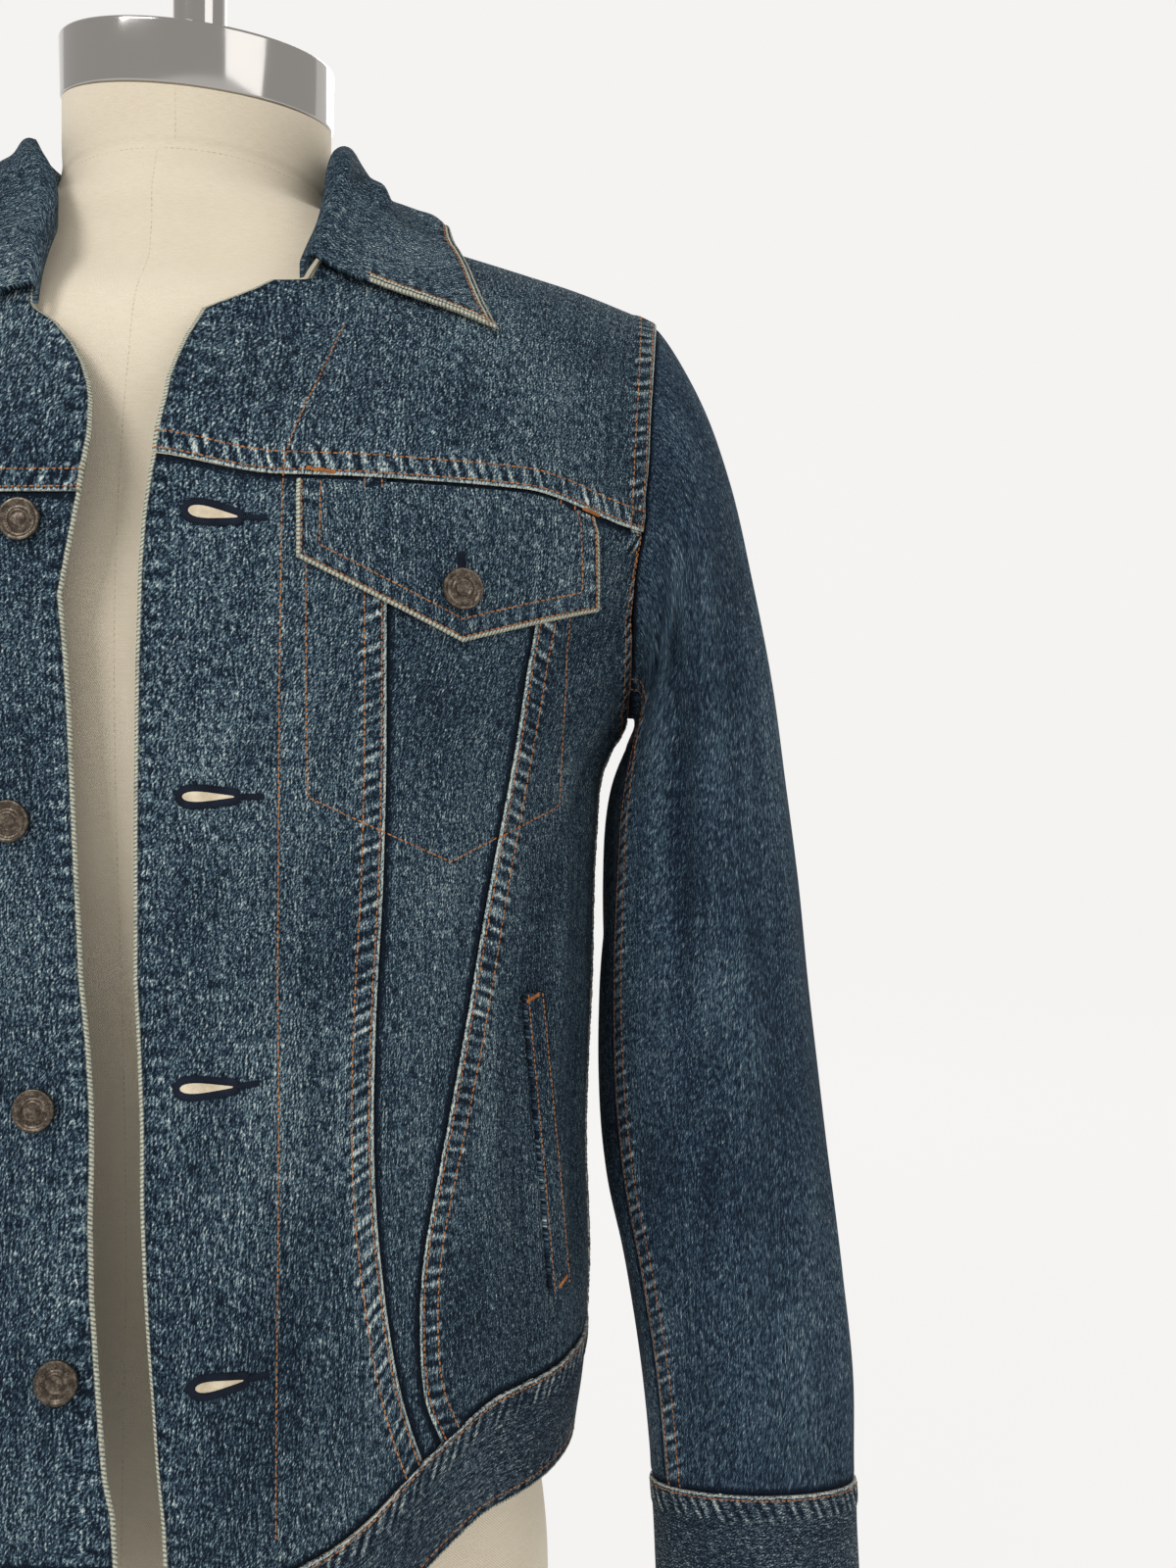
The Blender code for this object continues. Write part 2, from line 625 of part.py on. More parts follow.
def sleeve_normal(around, along):
    along = np.maximum(along, 2 * STEP)
    return facing_out(sleeve, np.asarray(around, float), along)


# ---------------------------------------------------------------- materials


def finish(name, colour, roughness, metallic=0.0):
    material = bpy.data.materials.new(name)
    material.use_nodes = True
    shader = material.node_tree.nodes["Principled BSDF"]
    shader.inputs["Base Color"].default_value = (*colour, 1.0)
    shader.inputs["Roughness"].default_value = roughness
    shader.inputs["Metallic"].default_value = metallic
    return material


# ---------------------------------------------------------------- making solids


def remove_old_objects():
    for old in list(bpy.data.objects):
        bpy.data.objects.remove(old, do_unlink=True)


def add_object(name, mesh, material):
    mesh.materials.append(material)
    mesh.shade_smooth()
    mesh.set_sharp_from_angle(angle=math.radians(40))
    thing = bpy.data.objects.new(name, mesh)
    bpy.context.scene.collection.objects.link(thing)
    return thing


def face_outwards(body):
    bmesh.ops.recalc_face_normals(body, faces=list(body.faces))
    if body.calc_volume(signed=True) < 0.0:
        bmesh.ops.reverse_faces(body, faces=list(body.faces))


def wall(name, outer, inner, material):
    """A closed cloth wall between two grids of points, shaped (rows, columns, 3)."""
    rows, columns = outer.shape[0] - 1, outer.shape[1] - 1
    cloth = bmesh.new()
    bmesh.ops.create_grid(cloth, x_segments=columns, y_segments=rows, size=1.0)
    raised = bmesh.ops.extrude_face_region(cloth, geom=list(cloth.faces))
    for item in raised["geom"]:
        if isinstance(item, bmesh.types.BMVert):
            item.co.z = 1.0
    for vertex in cloth.verts:
        column = round((vertex.co.x + 1.0) / 2.0 * columns)
        row = round((vertex.co.y + 1.0) / 2.0 * rows)
        face = outer if vertex.co.z > 0.5 else inner
        vertex.co = Vector(face[row, column])
    bmesh.ops.triangulate(cloth, faces=list(cloth.faces))
    face_outwards(cloth)
    mesh = bpy.data.meshes.new(name)
    cloth.to_mesh(mesh)
    cloth.free()
    return add_object(name, mesh, material)


def tube(name, rings, material):
    """A closed solid through rings of points, shaped (rings, points, 3), capped flat."""
    count, points = rings.shape[0] - 1, rings.shape[1]
    body = bmesh.new()
    bmesh.ops.create_grid(body, x_segments=points, y_segments=count, size=1.0)
    for vertex in body.verts:
        column = round((vertex.co.x + 1.0) / 2.0 * points) % points
        row = round((vertex.co.y + 1.0) / 2.0 * count)
        vertex.co = Vector(rings[row, column])
    bmesh.ops.remove_doubles(body, verts=list(body.verts), dist=1e-6)
    rims = [edge for edge in body.edges if edge.is_boundary]
    bmesh.ops.holes_fill(body, edges=rims, sides=0)
    face_outwards(body)
    mesh = bpy.data.meshes.new(name)
    body.to_mesh(mesh)
    body.free()
    return add_object(name, mesh, material)


def turned(name, profile, segments, place, material):
    """A solid of revolution from (radius, height) points that start and end on the axis."""
    body = bmesh.new()
    points = [body.verts.new((radius, 0.0, height)) for radius, height in profile]
    edges = [body.edges.new(pair) for pair in zip(points, points[1:])]
    bmesh.ops.spin(
        body, geom=points + edges, cent=(0, 0, 0), axis=(0, 0, 1), dvec=(0, 0, 0),
        angle=TURN, steps=segments, use_merge=True,
    )
    bmesh.ops.remove_doubles(body, verts=list(body.verts), dist=1e-6)
    face_outwards(body)
    bmesh.ops.transform(body, matrix=place, verts=list(body.verts))
    mesh = bpy.data.meshes.new(name)
    body.to_mesh(mesh)
    body.free()
    return add_object(name, mesh, material)


def patch(bottom, top, left, right, columns, rows):
    """(turn, level) grids that fill the space between four seams."""
    s = np.linspace(0.0, 1.0, columns + 1)[None, :]
    t = np.linspace(0.0, 1.0, rows + 1)[:, None]
    corners = [start_of(bottom), end_of(bottom), start_of(top), end_of(top)]
    grids = []
    for axis in (0, 1):
        low = bottom(s[0])[axis][None, :]
        high = top(s[0])[axis][None, :]
        near = left(t[:, 0])[axis][:, None]
        far = right(t[:, 0])[axis][:, None]
        c00, c10, c01, c11 = (corner[axis] for corner in corners)
        bilinear = (1 - s) * (1 - t) * c00 + s * (1 - t) * c10 + (1 - s) * t * c01 + s * t * c11
        grids.append((1 - t) * low + t * high + (1 - s) * near + s * far - bilinear)
    return grids


def pull_in(points, normals, gap):
    """Move a grid's rim points into the sheet, square to the rim, by gap."""
    moved = points.copy()
    across = np.cross(normals[0], np.gradient(points[0], axis=0))
    moved[0] += gap * across / np.linalg.norm(across, axis=-1, keepdims=True)
    across = np.cross(np.gradient(points[-1], axis=0), normals[-1])
    moved[-1] += gap * across / np.linalg.norm(across, axis=-1, keepdims=True)
    across = np.cross(np.gradient(points[:, 0], axis=0), normals[:, 0])
    moved[:, 0] += gap * across / np.linalg.norm(across, axis=-1, keepdims=True)
    across = np.cross(normals[:, -1], np.gradient(points[:, -1], axis=0))
    moved[:, -1] += gap * across / np.linalg.norm(across, axis=-1, keepdims=True)
    return moved


def panel(name, bottom, top, left, right, columns, rows, material, mirrored=False, thickness=WALL):
    """A trunk panel between four seams, each rim half a seam gap inside its seam."""
    turn, level = patch(bottom, top, left, right, columns, rows)
    if mirrored:
        turn = TURN - turn[:, ::-1]
        level = level[:, ::-1]
    normals = trunk_normal(turn, level)
    outer = pull_in(trunk(turn, level), normals, SEAM_GAP / 2)
    return wall(name, outer, outer - thickness * normals, material)


def laid_on(name, turn, level, lift, thickness, material):
    """A piece that lies on the trunk, lift above its outer face."""
    normals = trunk_normal(turn, level)
    under = trunk(turn, level) + lift * normals
    return wall(name, under + thickness * normals, under, material)


# ---------------------------------------------------------------- the dress form


def squared_ring(half_width, front, back, squareness, angle, z):
    s, c = np.sin(angle), np.cos(angle)
    power = 2.0 / squareness
    x = half_width * np.sign(s) * np.abs(s) ** power
    y = -np.where(c > 0, front, back) * np.sign(c) * np.abs(c) ** power
    return np.stack([x, y, np.full_like(x, z)], axis=-1)


def build_form(canvas, chrome):
    """Canvas torso that stands on its flat underside, with its neck, cap and post."""
    angle = np.linspace(0.0, TURN, 28, endpoint=False)
    rings = []
    for row in FORM:
        rings.append(squared_ring(row.half_width, row.front, row.back, row.squareness, angle, row.z))
    for row in FORM_SHOULDER:
        ridge_z = float(shoulder_z(row.x)) - WALL * 1.06 - row.below
        rings.append(squared_ring(row.x, row.front, row.back, row.squareness, angle, ridge_z))
    for share in (0.0, 0.35, 0.7, 1.0):
        z = NECK_FOOT_Z + (NECK_TOP_Z - NECK_FOOT_Z) * share
        x = NECK_RADIUS * np.sin(angle)
        y = -NECK_RADIUS * np.cos(angle)
        lean = share * (y * math.tan(NECK_TILT) - x * math.tan(NECK_ROLL))
        rings.append(np.stack([x + NECK_SHIFT, y, z + lean], axis=-1))
    tube("form_torso", np.array(rings), canvas)

    leaning = Matrix.Rotation(NECK_TILT, 4, "X") @ Matrix.Rotation(NECK_ROLL, 4, "Y")
    neck_top = Matrix.Translation((NECK_SHIFT, 0, NECK_TOP_Z + SEAM_GAP)) @ leaning
    radius, height, bevel = CAP_RADIUS, CAP_HEIGHT, 0.0015
    turned(
        "form_neck_cap",
        [(0, 0), (radius, 0), (radius, height - bevel), (radius - bevel, height), (0, height)],
        28, neck_top, chrome,
    )
    post_foot = neck_top @ Vector((0, 0, CAP_HEIGHT + SEAM_GAP))
    post = POST_RADIUS
    turned(
        "form_post",
        [(0, 0), (0.021, 0), (0.021, 0.003), (post, 0.006), (post, POST_HEIGHT - 0.009),
         (post * 0.72, POST_HEIGHT - 0.002), (0, POST_HEIGHT)],
        14, Matrix.Translation(post_foot) @ leaning, chrome,
    )


# ---------------------------------------------------------------- the jacket's body


def run_of(stops, counts):
    """A seam along one level through these turns, each stretch in its count of equal steps."""
    turns = [np.linspace(a, b, count, endpoint=False) for a, b, count in zip(stops, stops[1:], counts)]
    turns = np.append(np.concatenate(turns), stops[-1])

    def seam(t):
        place = np.asarray(t, float) * sum(counts)
        return np.interp(place, np.arange(len(turns)), turns), np.full_like(place, YOKE_Z)

    return seam


def build_fronts(denim):
    for side, edge, lapel, neck, mirrored in (
        ("left", LEFT_EDGE, LEFT_LAPEL, NECKLINE, False),
        ("right", RIGHT_EDGE, RIGHT_LAPEL, NECKLINE_RIGHT, True),
    ):
        sense = -1 if mirrored else 1
        front_edge = edge_by_level(edge, sense, BAND_SEAM, YOKE_Z)
        lapel_edge = edge_seam(lapel, sense)
        inner, outer = v_seam("inner"), v_seam("outer")
        edge_foot, inner_foot, outer_foot = (start_of(seam)[0] for seam in (front_edge, inner, outer))
        edge_top, inner_top, outer_top = (end_of(seam)[0] for seam in (front_edge, inner, outer))
        panel(
            f"front_yoke_{side}",
            run_of((edge_top, inner_top, outer_top, ARM_FRONT), FRONT_COLUMNS),
            level_line(TOP, NECK_TURN, ARM_FRONT),
            joined(lapel_edge, neckline(0, 4, neck), 5 / 9), level_line_up(ARM_FRONT),
            sum(FRONT_COLUMNS), YOKE_ROWS, denim, mirrored,
        )
        panel(
            f"front_panel_{side}",
            level_line(BAND_SEAM, edge_foot, inner_foot), level_line(YOKE_Z, edge_top, inner_top),
            front_edge, inner, FRONT_COLUMNS[0], BODY_ROWS, denim, mirrored,
        )
        panel(
            f"pocket_panel_{side}",
            level_line(BAND_SEAM, inner_foot, outer_foot),
            level_line(YOKE_Z, inner_top, outer_top),
            inner, outer, FRONT_COLUMNS[1], BODY_ROWS, denim, mirrored,
        )
        panel(
            f"side_panel_{side}",
            level_line(BAND_SEAM, outer_foot, SIDE),
            joined(level_line(YOKE_Z, outer_top, ARM_FRONT), armhole_lower, 2 / SIDE_COLUMNS),
            outer, side_seam, SIDE_COLUMNS, BODY_ROWS, denim, mirrored,
        )


def build_back(denim):
    seam_foot, seam_top = start_of(back_seam)[0], end_of(back_seam)[0]
    for side, mirrored in (("left", False), ("right", True)):
        panel(
            f"back_side_{side}",
            level_line(BAND_SEAM, SIDE, seam_foot),
            joined(
                armhole_back_up, level_line(YOKE_Z, ARM_BACK, seam_top), 6 / BACK_SIDE_COLUMNS
            ),
            side_seam, back_seam, BACK_SIDE_COLUMNS, BODY_ROWS, denim, mirrored,
        )
    panel(
        "back_centre",
        level_line(BAND_SEAM, seam_foot, TURN - seam_foot),
        level_line(YOKE_Z, seam_top, TURN - seam_top),
        back_seam, lambda t: to_right(back_seam(t)), BACK_COLUMNS, BODY_ROWS, denim,
    )
    shoulder = level_line(TOP, ARM_BACK, math.pi - NECK_TURN)
    shoulder_columns = sum(FRONT_COLUMNS)
    half_columns = shoulder_columns + 6
    half_top = joined(shoulder, neckline(4, 8, NECKLINE), shoulder_columns / half_columns)

    def whole_top(t):
        turn, level = half_top(np.where(t <= 0.5, 2 * t, 2 - 2 * t))
        return np.where(t <= 0.5, turn, TURN - turn), level

    panel(
        "back_yoke",
        level_line(YOKE_Z, ARM_BACK, TURN - ARM_BACK), whole_top,
        level_line_up(ARM_BACK), level_line_up(TURN - ARM_BACK),
        2 * half_columns, YOKE_ROWS, denim,
    )


def build_waistband(denim):
    """One band round the hem; its top edge has the panels' own steps."""
    left_foot = edge_by_level(LEFT_EDGE, 1, BAND_SEAM - BAND_DEPTH, BAND_SEAM)
    right_foot = edge_by_level(RIGHT_EDGE, -1, BAND_SEAM - BAND_DEPTH, BAND_SEAM)
    inner, outer, back = (start_of(seam)[0] for seam in (v_seam("inner"), v_seam("outer"), back_seam))
    counts = (FRONT_COLUMNS[0], FRONT_COLUMNS[1], SIDE_COLUMNS, BACK_SIDE_COLUMNS, BACK_COLUMNS,
              BACK_SIDE_COLUMNS, SIDE_COLUMNS, FRONT_COLUMNS[1], FRONT_COLUMNS[0])
    heights = np.linspace(0.0, 1.0, 3)
    turn = []
    for height in heights:
        start = float(left_foot(np.array([height]))[0][0])
        end = TURN - float(right_foot(np.array([height]))[0][0])
        stops = (start, inner, outer, SIDE, back, TURN - back, TURN - SIDE, TURN - outer,
                 TURN - inner, end)
        seam = run_of(stops, counts)
        turn.append(seam(np.linspace(0.0, 1.0, sum(counts) + 1))[0])
    turn = np.array(turn)
    level = np.broadcast_to((BAND_SEAM - BAND_DEPTH * (1 - heights))[:, None], turn.shape)
    normals = trunk_normal(turn, level)
    outer_face = pull_in(trunk(turn, level), normals, SEAM_GAP / 2) + 0.0004 * normals
    wall("waistband", outer_face, outer_face - DOUBLE_WALL * normals, denim)


def build_pockets(denim):
    for side, mirrored in (("left", False), ("right", True)):
        rows = np.linspace(0.0, 1.0, 4)[:, None]
        columns = np.linspace(0.0, 1.0, 7)
        top_x = np.interp(columns, [0.0, 1.0], [FLAP_INNER_X, FLAP_OUTER_X])
        low_x = np.interp(columns, [0.0, 0.5, 1.0], [FLAP_INNER_X, FLAP_POINT_X, FLAP_OUTER_X])
        low_z = np.interp(columns, [0.0, 0.5, 1.0], [FLAP_INNER_Z, FLAP_POINT_Z, FLAP_OUTER_Z])
        top_turn, top_level = turn_at(top_x, FLAP_TOP_LEVEL), FLAP_TOP_LEVEL
        low_turn, low_level = find_on_trunk(-low_x if mirrored else low_x, low_z)
        low_turn = np.abs(low_turn)
        turn = top_turn + (low_turn - top_turn) * (1 - rows)
        level = top_level + (low_level - top_level) * (1 - rows)
        if mirrored:
            turn, level = TURN - turn[:, ::-1], level[:, ::-1]
        laid_on(f"pocket_flap_{side}", turn, level, LAY_GAP, FLAP_THICKNESS, denim)

        up = np.linspace(0.0, 1.0, 6)[:, None]
        over = np.array([[-0.5, 0.5]])
        x = WELT_LOW_X + (WELT_HIGH_X - WELT_LOW_X) * up + WELT_WIDTH * over
        z = WELT_LOW_Z + (WELT_HIGH_Z - WELT_LOW_Z) * up + 0 * over
        turn, level = find_on_trunk(x, z)
        if mirrored:
            turn, level = TURN - turn[:, ::-1], level[:, ::-1]
        laid_on(f"pocket_welt_{side}", turn, level, LAY_GAP, FLAP_THICKNESS, denim)


# ---------------------------------------------------------------- the collar


def clear_of_front(point, height):
    """Move a point forward until it is this far off the front of the trunk."""
    place = find_on_trunk(point[0], point[2])
    off = float((point - trunk(*place)) @ trunk_normal(*place))
    if point[1] > -0.02 or off >= height:
        return point
    return point + (height - off) * trunk_normal(*place)


def collar_profile(k, share):
    """Shown face of the collar at place k: up the stand, over the fold, down the fall.

    The second result is the way to the hidden face, left at zero along the fall.
    """
    half = min(k, 16.0 - k)
    sense, rows, neck = (1, COLLAR, NECKLINE) if k <= 8 else (-1, COLLAR_RIGHT, NECKLINE_RIGHT)
    read = {name: float(along_table(rows, "k", name, half)) for name in CollarRow._fields}
    mirror = np.array([sense, 1.0, 1.0])
    place = neck_place(np.array(half), neck)
    forward = COLLAR_FORWARD * (1.0 - float(ease(0.3, 2.0, half)))
    base = on_side(sense, trunk, place) + forward * on_side(sense, trunk_normal, place)
    heading = math.radians(read["heading"])
    out = np.array([math.cos(heading), math.sin(heading), 0.0])
    up = np.array([0.0, 0.0, 1.0])
    foot = base - read["inset"] * out - COLLAR_SINK * up
    stand_top = foot + (read["stand"] - FOLD_RADIUS) * up
    centre = stand_top + FOLD_RADIUS * out
    stop = math.radians(90.0 - read["fall_slope"])
    fall_start = centre + FOLD_RADIUS * (math.cos(stop) * out + math.sin(stop) * up)
    slope = math.radians(read["fall_slope"])
    heading_down = math.cos(slope) * out - math.sin(slope) * up
    edge_place = over_shoulder(read["edge_x"], read["edge_roll"])
    edge_normal = on_side(sense, trunk_normal, edge_place)
    edge = on_side(sense, trunk, edge_place) + (DOUBLE_WALL + read["lift"]) * edge_normal
    reach = edge - fall_start
    length = np.linalg.norm(reach)
    lying = reach - edge_normal * float(reach @ edge_normal)
    lying = lying / np.linalg.norm(lying)
    first = fall_start + heading_down * length * 0.36
    second = edge - lying * length * 0.36
    points, hidden_ways = [], []
    for q in share:
        hidden_way = np.zeros(3)
        if q <= STAND_SHARE:
            point = foot + (stand_top - foot) * (q / STAND_SHARE)
            hidden_way = out
        elif q <= FOLD_SHARE:
            turn = math.pi + (stop - math.pi) * (q - STAND_SHARE) / (FOLD_SHARE - STAND_SHARE)
            hidden_way = -(math.cos(turn) * out + math.sin(turn) * up)
            point = centre - FOLD_RADIUS * hidden_way
            point = clear_of_front(point * mirror, DOUBLE_WALL + read["lift"]) * mirror
        else:
            t = (q - FOLD_SHARE) / (1.0 - FOLD_SHARE)
            point = ((1 - t) ** 3 * fall_start + 3 * t * (1 - t) ** 2 * first
                     + 3 * t * t * (1 - t) * second + t ** 3 * edge)
            point = clear_of_front(point * mirror, DOUBLE_WALL + read["lift"]) * mirror
        points.append(point * mirror)
        hidden_ways.append(hidden_way * mirror)
    return np.array(points), np.array(hidden_ways)


def sheet_normals(points):
    """Normals of a grid of points, from its neighbours."""
    across = np.cross(np.gradient(points, axis=1), np.gradient(points, axis=0))
    return across / np.linalg.norm(across, axis=-1, keepdims=True)


def build_collar(denim):
    places = np.concatenate([np.linspace(0, 4, 5), np.linspace(4, 8, 7)[1:]])
    places = np.concatenate([places, 16 - places[-2::-1]])
    share = np.array([0.0, 0.10, 0.20, 0.25, 0.30, 0.36, 0.48, 0.61, 0.74, 0.87, 1.0])
    profiles = [collar_profile(k, share) for k in places]
    shown = np.array([profile[0] for profile in profiles]).transpose(1, 0, 2)
    ways = np.array([profile[1] for profile in profiles]).transpose(1, 0, 2)
    fall = np.linalg.norm(ways, axis=-1, keepdims=True) < 0.5
    hidden = shown + DOUBLE_WALL * np.where(fall, sheet_normals(shown), ways)
    wall("collar", shown, hidden, denim)


# ---------------------------------------------------------------- sleeves and cuffs


def build_sleeves(denim):
    top_steps = np.arange(-105, -90, 15.0)
    fine_steps = np.arange(-90, 90, 10.0)
    low_steps = np.arange(90, 151, 15.0)
    outer_angles = np.radians(np.concatenate([top_steps, fine_steps, low_steps]))
    under_angles = np.radians(np.arange(150, 256, 15.0))
    along = np.array(SLEEVE_STEPS)
    for part, angles in (("sleeve_outer", outer_angles), ("sleeve_under", under_angles)):
        around, down = np.meshgrid(angles, along)
        normals = sleeve_normal(around, down)
        outer = pull_in(sleeve(around, down), normals, SEAM_GAP / 2)
        inner = outer - WALL * normals
        place = armhole(angles)
        rim_normal = trunk_normal(*place)
        ahead, behind = trunk(*armhole(angles + 0.01)), trunk(*armhole(angles - 0.01))
        into = np.cross(rim_normal, ahead - behind)
        into = into / np.linalg.norm(into, axis=-1, keepdims=True)
        side_shift = outer[1] - sleeve(around, down)[1]
        outer[0] = trunk(*place) + into * SEAM_GAP / 2
        outer[0, [0, -1]] += 2 * side_shift[[0, -1]]
        inner[0] = outer[0] - WALL * rim_normal
        place_pair(part, outer, inner, denim)


def place_pair(part, outer, inner, material):
    """The left piece and its mirrored right one."""
    wall(f"{part}_left", outer, inner, material)
    flip = np.array([-1.0, 1.0, 1.0])
    wall(f"{part}_right", (outer * flip)[:, ::-1], (inner * flip)[:, ::-1], material)


def build_cuffs(denim):
    """A straight double band round the wrist; its ends meet at the back seam."""
    opening = math.radians(255.0)
    slit = 0.0006 / 0.045
    angles = np.linspace(opening + slit, opening + TURN - slit, 31)
    around, down = np.meshgrid(angles, np.array([1.0, 1.05, 1.10]))
    normals = sleeve_normal(around, down)
    outer = pull_in(sleeve(around, down), normals, SEAM_GAP / 2) + 0.0004 * normals
    place_pair("cuff", outer, outer - DOUBLE_WALL * normals, denim)


# ---------------------------------------------------------------- buttons


def build_buttons(metal):
    for name, x, z, mirrored in BUTTONS:
        turn, level = find_on_trunk(-x if mirrored else x, z)
        turn, level = float(turn), float(level)
        lift = LAY_GAP
        if name.startswith("button_flap"):
            lift = 2 * LAY_GAP + FLAP_THICKNESS
        if name == "button_waistband":
            lift = LAY_GAP + 0.0004
        set_button(name, trunk(turn, level), trunk_normal(turn, level), lift, metal)
    around = math.radians(232.0)
    for side, mirror in (("left", 1.0), ("right", -1.0)):
        high = sleeve(around, 1.0)
        low = sleeve_oval(around, 1.10)
        ahead = sleeve_oval(around + 0.01, 1.10) - sleeve_oval(around - 0.01, 1.10)
        normal = np.cross(low - high, ahead)
        normal = normal / np.linalg.norm(normal)
        centre = sleeve_oval(np.array([around, around + math.pi]), 1.10).mean(axis=0)
        if normal @ (low - centre) < 0:
            normal = -normal
        place = (high + low) / 2
        flip = np.array([mirror, 1.0, 1.0])
        set_button(f"button_cuff_{side}", place * flip, normal * flip, LAY_GAP + 0.0003, metal)


def set_button(name, point, normal, lift, metal):
    facing = Vector(normal).to_track_quat("Z", "Y").to_matrix().to_4x4()
    place = Matrix.Translation(Vector(point + lift * normal)) @ facing
    turned(name, BUTTON_PROFILE, 12, place, metal)


# ---------------------------------------------------------------- the whole object


def main():
    remove_old_objects()
    denim = finish("denim", (0.090, 0.145, 0.205), 0.85)
    dark_denim = finish("denim_band", (0.060, 0.095, 0.140), 0.85)
    canvas = finish("canvas", (0.76, 0.68, 0.56), 0.8)
    chrome = finish("chrome", (0.72, 0.70, 0.67), 0.12, 1.0)
    metal = finish("button_metal", (0.16, 0.13, 0.11), 0.4, 1.0)
    build_form(canvas, chrome)
    build_fronts(denim)
    build_back(denim)
    build_waistband(dark_denim)
    build_pockets(denim)
    build_collar(denim)
    build_sleeves(denim)
    build_cuffs(dark_denim)
    build_buttons(metal)


main()
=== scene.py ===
"""The looks of a worn denim trucker jacket on a limbless dress form.

Metres, +Z up; the wearer faces -Y and the wearer's left is +X. Every cloth piece is cut
from the same surfaces as its solid: the trunk, the sleeve and the collar.
"""

import math
from collections import namedtuple

import bmesh
import bpy
import numpy as np
from mathutils import Matrix, Vector
from mathutils.bvhtree import BVHTree


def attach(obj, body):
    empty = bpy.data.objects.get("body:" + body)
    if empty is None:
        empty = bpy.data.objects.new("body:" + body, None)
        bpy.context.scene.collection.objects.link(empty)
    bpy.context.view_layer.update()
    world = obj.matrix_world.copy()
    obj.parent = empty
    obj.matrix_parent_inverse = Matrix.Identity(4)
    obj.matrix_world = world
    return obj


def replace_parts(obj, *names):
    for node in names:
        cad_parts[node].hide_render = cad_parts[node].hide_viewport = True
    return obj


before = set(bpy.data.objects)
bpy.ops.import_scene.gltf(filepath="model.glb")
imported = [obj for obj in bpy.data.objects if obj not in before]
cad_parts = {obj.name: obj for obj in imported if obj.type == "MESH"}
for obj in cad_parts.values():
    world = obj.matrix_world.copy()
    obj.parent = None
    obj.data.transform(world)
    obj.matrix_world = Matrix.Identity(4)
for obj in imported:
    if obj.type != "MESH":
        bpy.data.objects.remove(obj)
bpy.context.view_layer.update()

# ---------------------------------------------------------------- camera, floor and light
# A camera a little to the wearer's left of the open fronts, half a metre up and level.
# The floor is a plain pale sheet that sweeps up behind, lit by soft boxes and a pale room.

EYE = Vector((0.192, -0.660, 0.500))
FOCUS = 1375.0               # focal length in pixels of a picture 1600 pixels high
PICTURE_HEIGHT = 1600.0
EYE_LEVEL_DROP = 50.0        # how far the eye level lies below the picture's middle, in pixels

camera_data = bpy.data.cameras.new("camera")
camera_data.sensor_fit = "VERTICAL"
camera_data.sensor_height = 36.0
camera_data.lens = FOCUS / PICTURE_HEIGHT * camera_data.sensor_height
camera_data.shift_y = EYE_LEVEL_DROP / PICTURE_HEIGHT
camera_data.clip_start = 0.01
camera = bpy.data.objects.new("camera", camera_data)
camera.location = EYE
camera.rotation_euler = (math.radians(90.0), 0.0, 0.0)
bpy.context.scene.collection.objects.link(camera)
bpy.context.scene.camera = camera

scene = bpy.context.scene
scene.view_settings.view_transform = "Standard"


def tone(red, green, blue):
    """A colour given from 0 to 255 as the eye sees it, made linear for the shader."""
    return tuple(((c / 255.0 + 0.055) / 1.055) ** 2.4 if c > 10 else c / 255.0 / 12.92
                 for c in (red, green, blue))


room = bpy.data.worlds.new("room")
room.use_nodes = True
room.node_tree.nodes["Background"].inputs["Color"].default_value = (*tone(245, 244, 242), 1.0)
room.node_tree.nodes["Background"].inputs["Strength"].default_value = 0.62
scene.world = room

FLOOR_WIDTH, FLOOR_FRONT, FLOOR_BACK, FLOOR_RISE = 12.0, -5.0, 3.0, 5.0
SWEEP = 1.5
sweep = bmesh.new()
bmesh.ops.create_grid(sweep, x_segments=1, y_segments=40, size=0.5)
for vertex in sweep.verts:
    share = vertex.co.y + 0.5
    run = share * (FLOOR_BACK - FLOOR_FRONT + SWEEP * math.pi / 2 + FLOOR_RISE)
    turn = min(max((run - (FLOOR_BACK - FLOOR_FRONT)) / SWEEP, 0.0), math.pi / 2)
    rise = max(run - (FLOOR_BACK - FLOOR_FRONT) - SWEEP * math.pi / 2, 0.0)
    vertex.co = Vector((
        vertex.co.x * FLOOR_WIDTH,
        min(FLOOR_FRONT + run, FLOOR_BACK) + SWEEP * math.sin(turn),
        SWEEP * (1.0 - math.cos(turn)) + rise,
    ))
floor_mesh = bpy.data.meshes.new("floor")
sweep.to_mesh(floor_mesh)
sweep.free()
floor_mesh.shade_smooth()
paper = bpy.data.materials.new("floor_paper")
paper.use_nodes = True
paper_shader = paper.node_tree.nodes["Principled BSDF"]
paper_shader.inputs["Base Color"].default_value = (*tone(60, 60, 60), 1.0)
paper_shader.inputs["Roughness"].default_value = 1.0
paper_shader.inputs["Specular IOR Level"].default_value = 0.0
paper_shader.inputs["Emission Color"].default_value = (*tone(243, 242, 240), 1.0)
paper_shader.inputs["Emission Strength"].default_value = 0.97
floor_mesh.materials.append(paper)
floor = bpy.data.objects.new("floor", floor_mesh)
scene.collection.objects.link(floor)

